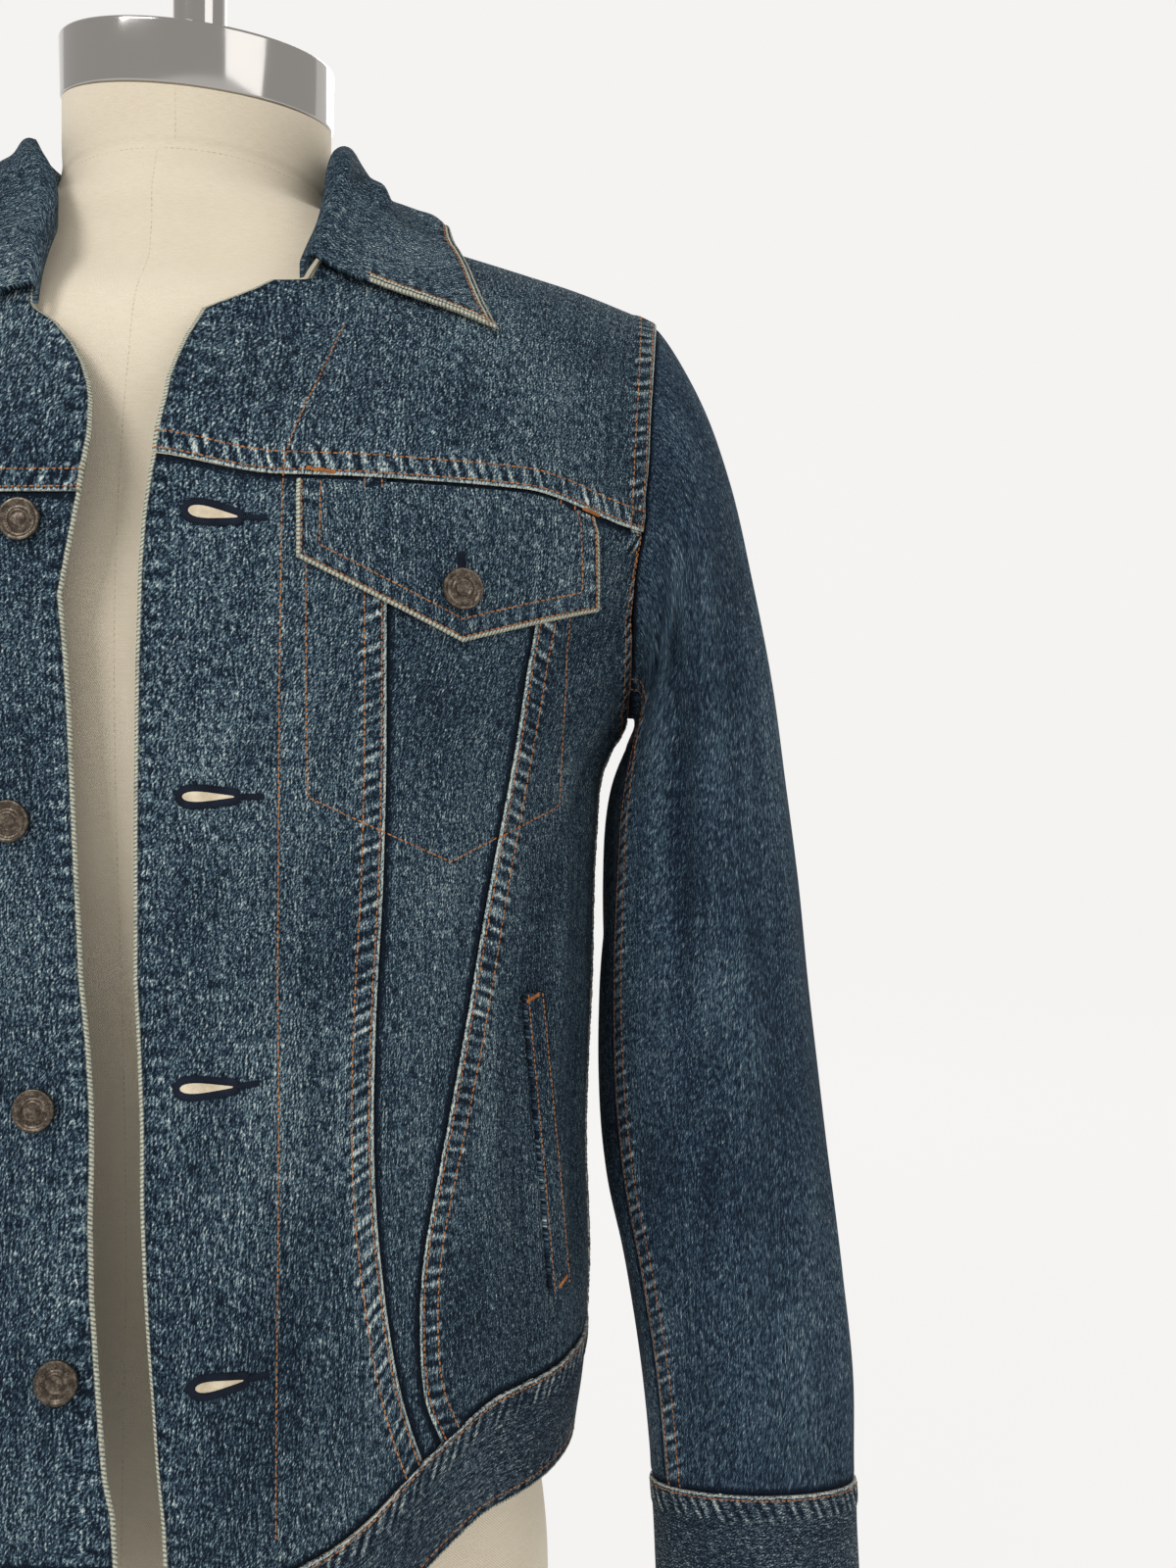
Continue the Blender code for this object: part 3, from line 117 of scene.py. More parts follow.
SoftBox = namedtuple("SoftBox", "name place aim size power")
for box in (
    SoftBox("key", (-1.6, -2.4, 2.3), (0.1, 0.0, 0.6), 1.4, 52.0),
    SoftBox("fill", (2.4, -1.9, 1.3), (0.1, 0.0, 0.5), 1.8, 16.0),
    SoftBox("rim", (0.6, 2.4, 2.2), (0.0, 0.0, 0.6), 1.6, 22.0),
):
    light_data = bpy.data.lights.new(box.name, "AREA")
    light_data.size = box.size
    light_data.energy = box.power
    light = bpy.data.objects.new(box.name, light_data)
    light.location = box.place
    light.rotation_euler = (Vector(box.aim) - Vector(box.place)).to_track_quat("-Z", "Y").to_euler()
    scene.collection.objects.link(light)

# ---------------------------------------------------------------- the dress form
# A padded torso covered in cream cotton twill, sewn in panels with a seam round the neck.
# It ends in a chromed cap over the neck, with the turned post that a stand's knob goes on.

TURN = 2.0 * math.pi
QUARTER = 0.5 * math.pi
WALL = 0.0016                # one layer of heavy denim
SEAM_GAP = 0.0003


def curve_through(keys, values, at):
    """A smooth curve through values at their keys (Hermite pieces)."""
    keys, values = np.asarray(keys, float), np.asarray(values, float)
    slopes = np.gradient(values, keys, axis=0)
    at = np.clip(np.asarray(at, float), keys[0], keys[-1])
    index = np.clip(np.searchsorted(keys, at) - 1, 0, len(keys) - 2)
    width = keys[index + 1] - keys[index]
    t = (at - keys[index]) / width
    spread = t.shape + (1,) * (values.ndim - 1)
    t, width = t.reshape(spread), width.reshape(spread)
    start = (1 + 2 * t) * (1 - t) ** 2 * values[index]
    end = t * t * (3 - 2 * t) * values[index + 1]
    return start + end + width * t * (1 - t) * ((1 - t) * slopes[index] - t * slopes[index + 1])


def table(kind, *rows, plain=""):
    """Named rows from sizes in millimetres; the plain columns are kept as they are."""
    kept = [name in plain.split() for name in kind._fields]
    return [kind(*(value if keep else value / 1000.0 for keep, value in zip(kept, row)))
            for row in rows]


def along_table(rows, key, column, at):
    """Read one column of a table as a smooth curve."""
    return curve_through([getattr(r, key) for r in rows], [getattr(r, column) for r in rows], at)


ShoulderPoint = namedtuple("ShoulderPoint", "x z")
SHOULDER = table(
    ShoulderPoint,
    (0, 826), (45, 817), (73, 802), (100, 787), (125, 777), (154, 768), (192, 757), (224.6, 745),
    (252, 732),
)


def shoulder_z(x):
    return along_table(SHOULDER, "x", "z", np.abs(x))


FormRing = namedtuple("FormRing", "z half_width front back squareness")
FORM = table(
    FormRing,
    (0, 158, 100, 104, 2.2), (60, 168, 106, 110, 2.2), (150, 172, 108, 112, 2.2),
    (240, 160, 104, 104, 2.2), (330, 146, 100, 96, 2.2), (420, 150, 104, 98, 2.2),
    (510, 164, 112, 104, 2.2), (580, 174, 114, 108, 2.2), (647, 188, 108, 106, 2.1),
    (700, 198, 97, 98, 1.9), (730, 198, 88, 90, 1.8),
    plain="squareness",
)
ShoulderStep = namedtuple("ShoulderStep", "x below front back squareness")
FORM_SHOULDER = table(
    ShoulderStep,
    (186, 3, 70, 66, 1.72), (172, 2, 69, 66, 1.7), (154, 1.4, 68, 66, 1.7),
    (136, 1.4, 67, 65, 1.75), (118, 2.2, 67, 65, 1.82), (100, 3, 67, 65, 1.9),
    (84, 6, 66, 63, 1.95), (70, 8.5, 64, 61.5, 2),
    plain="squareness",
)
NECK_RADIUS, NECK_SHIFT = 0.0632, 0.0020
NECK_FOOT_Z, NECK_TOP_Z = 0.811, 0.8490
NECK_TILT, NECK_ROLL = math.radians(15.0), math.radians(4.3)
CAP_RADIUS, CAP_HEIGHT = 0.0640, 0.027
POST_RADIUS, POST_HEIGHT = 0.0125, 0.075
FORM_SIDES = 112


def squared_ring(half_width, front, back, squareness, angle, z):
    s, c = np.sin(angle), np.cos(angle)
    power = 2.0 / squareness
    x = half_width * np.sign(s) * np.abs(s) ** power
    y = -np.where(c > 0, front, back) * np.sign(c) * np.abs(c) ** power
    return np.stack([x, y, np.full_like(x, z)], axis=-1)


def form_rings():
    """The form's rings, foot to neck, as its solid has them."""
    angle = np.linspace(0.0, TURN, FORM_SIDES + 1)
    rings = [squared_ring(r.half_width, r.front, r.back, r.squareness, angle, r.z) for r in FORM]
    for row in FORM_SHOULDER:
        ridge_z = float(shoulder_z(row.x)) - WALL * 1.06 - row.below
        rings.append(squared_ring(row.x, row.front, row.back, row.squareness, angle, ridge_z))
    for share in (0.0, 0.35, 0.7, 1.0):
        z = NECK_FOOT_Z + (NECK_TOP_Z - NECK_FOOT_Z) * share
        x, y = NECK_RADIUS * np.sin(angle), -NECK_RADIUS * np.cos(angle)
        lean = share * (y * math.tan(NECK_TILT) - x * math.tan(NECK_ROLL))
        rings.append(np.stack([x + NECK_SHIFT, y, z + lean], axis=-1))
    return np.array(rings)


def grid_mesh(name, points):
    """A mesh through a grid of points, shaped (rows, columns, 3), with its place in the grid."""
    rows, columns = points.shape[0] - 1, points.shape[1] - 1
    cloth = bmesh.new()
    bmesh.ops.create_grid(cloth, x_segments=columns, y_segments=rows, size=1.0)
    mesh = bpy.data.meshes.new(name)
    cloth.to_mesh(mesh)
    cloth.free()
    flat = np.empty(len(mesh.vertices) * 3)
    mesh.vertices.foreach_get("co", flat)
    flat = flat.reshape(-1, 3)
    column = np.rint((flat[:, 0] + 1.0) / 2.0 * columns).astype(int)
    row = np.rint((flat[:, 1] + 1.0) / 2.0 * rows).astype(int)
    mesh.vertices.foreach_set("co", points[row, column].ravel())
    mesh.update()
    return mesh, (row, column)


def add_piece(name, mesh, materials):
    """A piece of the object: its finishes and the body it rides on."""
    for material in materials:
        mesh.materials.append(material)
    piece = bpy.data.objects.new(name, mesh)
    scene.collection.objects.link(piece)
    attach(piece, "root")
    return piece


class Signal:
    """A shader socket that can be used in sums; a sum adds its Math nodes."""

    def __init__(self, finish, socket):
        self.finish, self.socket = finish, socket

    def math(self, operation, first, second=0.0):
        node = self.finish.make("ShaderNodeMath", {"operation": operation}, {0: first, 1: second})
        return Signal(self.finish, node.outputs[0])

    def __add__(self, other):
        return self.math("ADD", self, other)

    def __sub__(self, other):
        return self.math("SUBTRACT", self, other)

    def __rsub__(self, other):
        return self.math("SUBTRACT", other, self)

    def __mul__(self, other):
        return self.math("MULTIPLY", self, other)

    __radd__, __rmul__ = __add__, __mul__

    def sine(self):
        return self.math("SINE", self)

    def below(self, other):
        return self.math("MINIMUM", self, other)

    def above(self, other):
        return self.math("MAXIMUM", self, other)

    def fade(self, low, high):
        """0 at low and 1 at high, smooth between, in either direction."""
        node = self.finish.make("ShaderNodeMapRange", {"interpolation_type": "SMOOTHSTEP"},
                                {"Value": self, "From Min": low, "From Max": high})
        return Signal(self.finish, node.outputs["Result"])


class Finish:
    """A material being put together round its Principled shader."""

    def __init__(self, name, **uniform):
        self.material = bpy.data.materials.new(name)
        self.material.use_nodes = True
        self.tree = self.material.node_tree
        self.shader = self.tree.nodes["Principled BSDF"]
        for socket, value in uniform.items():
            self.shader.inputs[socket.replace("_", " ")].default_value = value

    def make(self, kind, settings=None, sockets=None):
        node = self.tree.nodes.new(kind)
        for setting, value in (settings or {}).items():
            if setting == "stops":
                ramp = node.color_ramp
                while len(ramp.elements) < len(value):
                    ramp.elements.new(0.5)
                for element, (place, colour) in zip(ramp.elements, value):
                    element.position = place
                    element.color = (*colour, 1.0)
            else:
                setattr(node, setting, value)
        for socket, value in (sockets or {}).items():
            if isinstance(value, Signal):
                self.tree.links.new(value.socket, node.inputs[socket])
            else:
                node.inputs[socket].default_value = value
        return node

    def attribute(self, name):
        node = self.make("ShaderNodeAttribute", {"attribute_name": name})
        return Signal(self, node.outputs["Fac"])

    def place(self, uv=None):
        """Where a point lies: on the piece's own map, or in the object's space."""
        if uv:
            return Signal(self, self.make("ShaderNodeUVMap", {"uv_map": uv}).outputs["UV"])
        return Signal(self, self.make("ShaderNodeTexCoord").outputs["Object"])

    def parts(self, vector):
        node = self.make("ShaderNodeSeparateXYZ", sockets={0: vector})
        return [Signal(self, node.outputs[i]) for i in range(3)]

    def joined(self, x, y, z=0.0):
        node = self.make("ShaderNodeCombineXYZ", sockets={0: x, 1: y, 2: z})
        return Signal(self, node.outputs[0])

    def noise(self, vector, scale=1.0, detail=2.0, roughness=0.5):
        node = self.make("ShaderNodeTexNoise", sockets={
            "Vector": vector, "Scale": scale, "Detail": detail, "Roughness": roughness})
        return Signal(self, node.outputs["Fac"])

    def ramp(self, value, stops):
        node = self.make("ShaderNodeValToRGB", {"stops": stops}, {"Fac": value})
        return Signal(self, node.outputs["Color"])

    def mix(self, factor, first, second):
        """A colour between two colours."""
        node = self.make("ShaderNodeMix", {"data_type": "RGBA"})
        for index, value in ((0, factor), (6, first), (7, second)):
            if isinstance(value, Signal):
                self.tree.links.new(value.socket, node.inputs[index])
            else:
                node.inputs[index].default_value = value if index == 0 else (*value, 1.0)
        return Signal(self, node.outputs[2])

    def give(self, socket, signal):
        self.tree.links.new(signal.socket, self.shader.inputs[socket])

    def raise_by(self, height, depth, strength=1.0):
        """Bump: height from 0 to 1 stands for this depth in metres."""
        node = self.make("ShaderNodeBump", sockets={
            "Height": height, "Distance": depth, "Strength": strength})
        self.tree.links.new(node.outputs[0], self.shader.inputs["Normal"])


CANVAS_TWILL = 0.00085       # from one twill line of the canvas to the next


def canvas_finish():
    """Cream cotton twill, fine diagonal lines with slubs, a little soiled in places."""
    cloth = Finish("canvas", Roughness=0.88, Sheen_Weight=0.15)
    x, y, z = cloth.parts(cloth.place())
    angle = x.math("ARCTAN2", x, 0.0 - y)
    across = angle * 0.105
    twill = ((across + z * 0.62) * (TURN / CANVAS_TWILL)).sine() * 0.5 + 0.5
    flecks = cloth.noise(cloth.joined(across * 2600.0, z * 900.0), detail=2.0)
    slub = cloth.noise(cloth.joined(across * 140.0, z * 2100.0), detail=1.0)
    soil = cloth.noise(cloth.place(), scale=9.0, detail=3.0)
    shade = twill * 0.20 + flecks * 0.34 + slub * 0.26 + soil * 0.42
    colour = cloth.ramp(shade, ((0.30, tone(196, 181, 155)), (0.60, tone(224, 211, 188)),
                                (0.92, tone(238, 228, 209))))
    cloth.give("Base Color", colour)
    cloth.raise_by(twill * 0.7 + flecks * 0.6, 0.00022, 0.7)
    return cloth.material


def chrome_finish():
    metal = Finish("chrome", Metallic=1.0, Base_Color=(0.44, 0.42, 0.40, 1.0))
    haze = metal.noise(metal.place(), scale=60.0, detail=4.0)
    metal.give("Roughness", haze * 0.10 + 0.06)
    return metal.material


CANVAS = canvas_finish()
CHROME = chrome_finish()
NECK_SEAM_BELOW = 0.043      # from the neck's top down to the seam round it
GROOVE_WIDTH, GROOVE_DEPTH = 0.0022, 0.0007
NECK_BAND = 0.075            # the length of skin below the neck's top that has fine rings

rings = form_rings()
steps = np.linalg.norm(np.diff(rings, axis=0), axis=-1).mean(axis=1)
heights = np.concatenate([[0.0], np.cumsum(steps)])
fine = np.unique(np.concatenate([
    np.arange(0.0, heights[-1], 0.006),
    np.arange(heights[-1] - NECK_BAND, heights[-1], 0.0015), heights[-1:],
]))
skin = curve_through(heights, rings, fine)
seam_at = heights[-1] - NECK_SEAM_BELOW
angle = np.linspace(0.0, TURN, FORM_SIDES + 1)
outward = np.stack([np.sin(angle), -np.cos(angle), np.zeros_like(angle)], axis=-1)
groove = np.exp(-(((fine - seam_at) / GROOVE_WIDTH) ** 2))
skin = skin - GROOVE_DEPTH * groove[:, None, None] * outward[None]
torso_mesh, _ = grid_mesh("dress_form_torso", skin)
torso = bmesh.new()
torso.from_mesh(torso_mesh)
bmesh.ops.remove_doubles(torso, verts=list(torso.verts), dist=1e-6)
bmesh.ops.holes_fill(torso, edges=[edge for edge in torso.edges if edge.is_boundary], sides=0)
bmesh.ops.recalc_face_normals(torso, faces=list(torso.faces))
torso.to_mesh(torso_mesh)
TORSO_TREE = BVHTree.FromBMesh(torso)
torso.free()
torso_mesh.shade_smooth()
torso_mesh.set_sharp_from_angle(angle=math.radians(50.0))
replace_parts(add_piece("dress_form_torso", torso_mesh, [CANVAS]), "form_torso")


def turned(name, profile, steps, place):
    """A mesh of revolution from (radius, height) points that start and end on the axis."""
    body = bmesh.new()
    points = [body.verts.new((radius, 0.0, height)) for radius, height in profile]
    edges = [body.edges.new(pair) for pair in zip(points, points[1:])]
    bmesh.ops.spin(body, geom=points + edges, cent=(0, 0, 0), axis=(0, 0, 1), dvec=(0, 0, 0),
                   angle=TURN, steps=steps, use_merge=True)
    bmesh.ops.remove_doubles(body, verts=list(body.verts), dist=1e-6)
    bmesh.ops.recalc_face_normals(body, faces=list(body.faces))
    if body.calc_volume(signed=True) < 0.0:
        bmesh.ops.reverse_faces(body, faces=list(body.faces))
    bmesh.ops.transform(body, matrix=place, verts=list(body.verts))
    mesh = bpy.data.meshes.new(name)
    body.to_mesh(mesh)
    body.free()
    mesh.shade_smooth()
    mesh.set_sharp_from_angle(angle=math.radians(38.0))
    return mesh


def rounded(radius, low, high, bevel, steps=5):
    """The outer side of a turned rim, its two corners rounded."""
    arc = [(bevel * math.cos(QUARTER * i / steps), bevel * math.sin(QUARTER * i / steps))
           for i in range(steps + 1)]
    lower = [(radius - bevel + y, low + bevel - x) for x, y in arc]
    upper = [(radius - bevel + x, high - bevel + y) for x, y in arc]
    return lower + upper


leaning = Matrix.Rotation(NECK_TILT, 4, "X") @ Matrix.Rotation(NECK_ROLL, 4, "Y")
neck_top = Matrix.Translation((NECK_SHIFT, 0, NECK_TOP_Z + SEAM_GAP)) @ leaning
cap_profile = [(0, 0)] + rounded(CAP_RADIUS, 0.0, CAP_HEIGHT, 0.0016) + [(0, CAP_HEIGHT)]
cap_mesh = turned("dress_form_cap", cap_profile, 96, neck_top)
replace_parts(add_piece("dress_form_cap", cap_mesh, [CHROME]), "form_neck_cap")
post_foot = neck_top @ Vector((0, 0, CAP_HEIGHT + SEAM_GAP))
post_profile = (
    [(0, 0)] + rounded(0.021, 0.0, 0.003, 0.0008) + [(POST_RADIUS + 0.003, 0.0040)]
    + [(POST_RADIUS, 0.0065), (POST_RADIUS, POST_HEIGHT - 0.009)]
    + [(POST_RADIUS * 0.94, POST_HEIGHT - 0.006), (POST_RADIUS * 0.72, POST_HEIGHT - 0.002)]
    + [(POST_RADIUS * 0.35, POST_HEIGHT), (0, POST_HEIGHT)]
)
post_mesh = turned("dress_form_post", post_profile, 48, Matrix.Translation(post_foot) @ leaning)
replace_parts(add_piece("dress_form_post", post_mesh, [CHROME]), "form_post")

# ---------------------------------------------------------------- thread
# Every seam is sewn with heavy cotton thread in lockstitch: each stitch is a short fat loop
# that sinks into the cloth at both ends. Tan thread on the jacket, cream on the form.

Stitch = namedtuple("Stitch", "centre along side up length width")
STITCH_PITCH = 0.0026
STITCH_WIDTH = 0.00080
STITCH_SINK = 0.00008
STITCH_FILL = 0.80           # share of the pitch that the thread shows


def thread_finish(name, dark, light):
    cotton = Finish(name, Roughness=0.75, Specular_IOR_Level=0.15)
    worn = cotton.noise(cotton.place(), scale=130.0, detail=3.0)
    strand = cotton.noise(cotton.place(), scale=2400.0, detail=1.0)
    shade = worn * 0.75 + strand * 0.25
    cotton.give("Base Color", cotton.ramp(shade, ((0.32, dark), (0.62, light))))
    cotton.raise_by(strand, 0.0002, 0.6)
    return cotton.material


TAN_THREAD = thread_finish("tan_thread", tone(128, 80, 46), tone(192, 124, 66))
CREAM_THREAD = thread_finish("cream_thread", tone(176, 160, 134), tone(222, 209, 184))
NAVY_THREAD = thread_finish("navy_thread", tone(10, 15, 26), tone(24, 33, 48))


def stitches(path, trees, pitch=STITCH_PITCH, width=STITCH_WIDTH):
    """Stitches along a path of points, each laid on the nearest of these surfaces."""
    path = np.asarray(path, float)
    reach = np.concatenate([[0.0], np.cumsum(np.linalg.norm(np.diff(path, axis=0), axis=1))])
    count = max(1, int(round(reach[-1] / pitch)))
    laid = []
    for index in range(count):
        middle = (index + 0.5) * reach[-1] / count
        behind, at, ahead = (
            Vector([np.interp(place, reach, path[:, axis]) for axis in range(3)])
            for place in (middle - pitch * 0.25, middle, middle + pitch * 0.25))
        found = min((tree.find_nearest(at) for tree in trees), key=lambda hit: hit[3])
        along = ahead - behind
        up = found[1]
        along = (along - up * along.dot(up)).normalized()
        centre = found[0] - up * STITCH_SINK
        laid.append(Stitch(centre, along, up.cross(along), up, pitch * STITCH_FILL, width))
    return laid


def lay(found, way, length, width, lift, slide=0.0):
    """One stitch on a found spot of cloth, lifted off it and slid along its own way."""
    spot, up = found[0] + way * slide + found[1] * lift, found[1]
    return Stitch(spot, way, up.cross(way), up, length, width)


def sew(name, laid, material):
    """All these stitches as one piece: an array of a rounded stitch, each copy set in place."""
    template = bmesh.new()
    bmesh.ops.create_uvsphere(template, u_segments=6, v_segments=4, radius=0.5)
    bmesh.ops.rotate(template, verts=list(template.verts), cent=(0, 0, 0),
                     matrix=Matrix.Rotation(QUARTER, 3, "Y"))
    one = bpy.data.meshes.new("one_stitch")
    template.to_mesh(one)
    template.free()
    shape = np.empty(len(one.vertices) * 3)
    one.vertices.foreach_get("co", shape)
    shape = shape.reshape(-1, 3)
    row = bpy.data.objects.new("one_stitch", one)
    scene.collection.objects.link(row)
    array = row.modifiers.new("row", "ARRAY")
    array.count = len(laid)
    array.use_relative_offset = False
    array.use_constant_offset = True
    array.constant_offset_displace = (2.0, 0.0, 0.0)
    mesh = bpy.data.meshes.new_from_object(row.evaluated_get(bpy.context.evaluated_depsgraph_get()))
    bpy.data.objects.remove(row, do_unlink=True)
    centres = np.array([s.centre for s in laid])
    axes = np.array([[s.along * s.length, s.side * s.width, s.up * s.width * 0.8] for s in laid])
    points = centres[:, None, :] + np.einsum("vk,nkd->nvd", shape, axes)
    mesh.vertices.foreach_set("co", points.ravel())
    mesh.name = name
    mesh.shade_smooth()
    return add_piece(name, mesh, [material])


# one row under the neck seam, one down the front and the back, one up the neck
CANVAS_STITCH, CANVAS_THREAD = 0.0026, 0.0006
UP_THE_NECK = 2              # the column of the skin's grid that the neck's own seam takes
below_seam = seam_at - CANVAS_STITCH
form_lines = [curve_through(heights, rings, below_seam)]
torso_rows = (fine > 0.0) & (fine < seam_at)
form_lines += [skin[torso_rows, column][::3] for column in (0, FORM_SIDES // 2)]
form_lines.append(skin[fine > seam_at, UP_THE_NECK])
form_rows = []
for line in form_lines:
    form_rows += stitches(line, [TORSO_TREE], CANVAS_STITCH, CANVAS_THREAD)
sew("dress_form_thread", form_rows, CREAM_THREAD)

# ---------------------------------------------------------------- the body's cloth surface
# The jacket's body hangs from the shoulders of the form, open down the front. turn runs
# from 0 at the centre front over the wearer's left side; level is a height up to the yoke
# seam and above it the length over the shoulder, to TOP at the shoulder seam.

DOUBLE_WALL = 0.0024         # two layers: collar, waistband and cuffs
LAY_GAP = 0.0007             # between a panel and what lies on it
YOKE_Z = 0.642
UNDERARM_Z = 0.5555
BAND_SEAM = 0.2635
BAND_DEPTH = 0.050
FRONT_DROP = 0.040
LEFT_DROP = 0.014
CAP_LENGTH = 0.200
SHOULDER_LEAN = 0.042
NECK_HOLLOW = 0.18           # share by which the fronts lie nearer the neck
STEP = 1e-4
TOP = YOKE_Z + CAP_LENGTH

Ring = namedtuple("Ring", "z half_width front back squareness")
TRUNK = table(
    Ring,
    (205, 183, 136, 120, 2.3), (240, 189, 140, 124, 2.3), (284, 192, 137, 121, 2.3),
    (356, 190.6, 132, 115, 2.3), (428, 193.4, 130, 114, 2.32), (500, 195.8, 130, 119, 2.35),
    (530, 199, 130, 121, 2.35), (555.5, 210.5, 130, 122, 2.35), (600, 228, 130, 122, 2.35),
    (642, 240, 130, 120, 2.35),
    plain="squareness",
)


def ease(low, high, at):
    """0 below low, 1 above high, smooth between."""
    t = np.clip((np.asarray(at, dtype=float) - low) / (high - low), 0.0, 1.0)
    return t * t * (3.0 - 2.0 * t)


def hump(width, at):
    """1 at zero, falling away softly over width."""
    return np.exp(-((at / width) ** 2))


def ring_xy(turn, z):
    half_width, front, back, square = (
        along_table(TRUNK, "z", name, z) for name in ("half_width", "front", "back", "squareness"))
    s, c = np.sin(turn), np.cos(turn)
    x = half_width * np.sign(s) * np.abs(s) ** (2.0 / square)
    y = -np.where(c > 0, front, back) * np.sign(c) * np.abs(c) ** (2.0 / square)
    return x, y


def front_swing(x, y, z):
    """How far the open fronts stand forward of the ring, with the soft groove beside."""
    swing = 0.018 * (1.0 - ease(0.22, 0.46, z)) * (1.0 - ease(0.035, 0.105, np.abs(x)))
    groove = 0.0045 * (1.0 - ease(0.40, 0.56, z)) * hump(0.016, np.abs(x) - 0.088)
    return ease(0.05, 0.10, -y) * (swing - groove)


def front_sag(turn, level):
    return FRONT_DROP * ease(0.60, 1.0, np.cos(turn)) * (1.0 - ease(0.27, 0.46, level))


def left_sag(turn, x, level):
    beside_edge = ease(0.018, 0.034, x) * (1.0 - ease(0.085, 0.130, x))
    in_front = ease(0.0, 0.3, np.cos(turn))
    return LEFT_DROP * beside_edge * in_front * (1.0 - ease(0.27, 0.42, level))


def front_wave(turn, x, level):
    """The left yoke seam lifts to its front edge, the right one drops, and both dip outward."""
    near_yoke = hump(0.06, level - YOKE_Z) * ease(0.0, 0.35, np.cos(turn))
    lift = 0.008 * (1.0 - ease(0.015, 0.070, x)) * ease(0.0, 0.012, x)
    lift = lift - 0.0075 * (1.0 - ease(0.045, 0.110, -x)) * ease(-0.012, 0.0, -x)
    return near_yoke * (lift - 0.010 * ease(0.165, 0.2155, np.abs(x)))


def neck_hollow(turn, x, roll):
    """Share by which the fronts lie nearer the neck than the plain curve over the shoulder."""
    near = (1.0 - ease(0.070, 0.165, np.abs(x))) * ease(0.0, 0.35, np.cos(turn))
    rise = np.sin(roll)
    return NECK_HOLLOW * near * ease(0.05, 0.50, rise) * (1.0 - 0.7 * ease(0.72, 0.95, rise))


def trunk(turn, level):
    """Point on the outer face of the body's solid."""
    turn, level = np.broadcast_arrays(np.asarray(turn, float), np.asarray(level, float))
    height = np.minimum(level, YOKE_Z)
    x, y = ring_xy(turn, height)
    z = height - front_sag(turn, height) - left_sag(turn, x, height) + front_wave(turn, x, level)
    y = y - front_swing(x, y, z)
    roll = np.clip((level - YOKE_Z) / CAP_LENGTH, 0.0, 1.0) * QUARTER
    rise = shoulder_z(x * (1.0 + SHOULDER_LEAN)) - YOKE_Z
    x = x * (1.0 + SHOULDER_LEAN * np.sin(roll))
    y = y * np.cos(roll) * (1.0 - neck_hollow(turn, x, roll))
    return np.stack([x, y, z + rise * np.sin(roll)], axis=-1)


def facing_out(surface, a, b):
    """Unit normal of a surface function, from its slopes."""
    normal = np.cross(surface(a + STEP, b) - surface(a - STEP, b),
                      surface(a, b + STEP) - surface(a, b - STEP))
    return normal / np.linalg.norm(normal, axis=-1, keepdims=True)


def trunk_normal(turn, level):
    return facing_out(trunk, np.asarray(turn, float), np.minimum(level, TOP - 2 * STEP))


def find_on_trunk(x, z):
    """The (turn, level) of the front point with this x and z."""
    x, z = np.broadcast_arrays(np.asarray(x, float), np.asarray(z, float))
    turn, level = np.full(x.shape, 0.3), z.copy()
    for _ in range(40):
        roll = np.clip((level - YOKE_Z) / CAP_LENGTH, 0.0, 1.0) * QUARTER
        height = np.minimum(level, YOKE_Z)
        half_width = along_table(TRUNK, "z", "half_width", height)
        square = along_table(TRUNK, "z", "squareness", height)
        share = np.abs(x) / (half_width * (1.0 + SHOULDER_LEAN * np.sin(roll)))
        turn = np.arcsin(np.clip(share, 0.0, 1.0) ** (square / 2.0))
        rise = shoulder_z(x) - YOKE_Z
        sag = front_sag(turn, height) + left_sag(turn, x, height)
        plain_z = z + sag - front_wave(turn, x, level)
        lift = np.arcsin(np.clip((plain_z - YOKE_Z) / rise, 0.0, 1.0)) / QUARTER
        level = np.where(plain_z < YOKE_Z, plain_z, YOKE_Z + lift * CAP_LENGTH)
    return turn * np.where(x < 0, -1.0, 1.0), level


def turn_at(x, level):
    """The turn of the front point at this x, on a level at or below the yoke seam."""
    half_width = along_table(TRUNK, "z", "half_width", level)
    square = along_table(TRUNK, "z", "squareness", level)
    x = np.asarray(x, float)
    return np.sign(x) * np.arcsin((np.abs(x) / half_width) ** (square / 2.0))


def over_shoulder(x, roll):
    """The place at this x and roll: 0 at the front yoke seam, 90 on the shoulder, 180 behind."""
    x, roll = np.broadcast_arrays(np.asarray(x, float), np.asarray(roll, float))
    up = np.where(roll > 90.0, 180.0 - roll, roll)
    turn = turn_at(x / (1.0 + SHOULDER_LEAN * np.sin(np.radians(up))), YOKE_Z)
    return np.where(roll > 90.0, math.pi - turn, turn), YOKE_Z + up / 90.0 * CAP_LENGTH


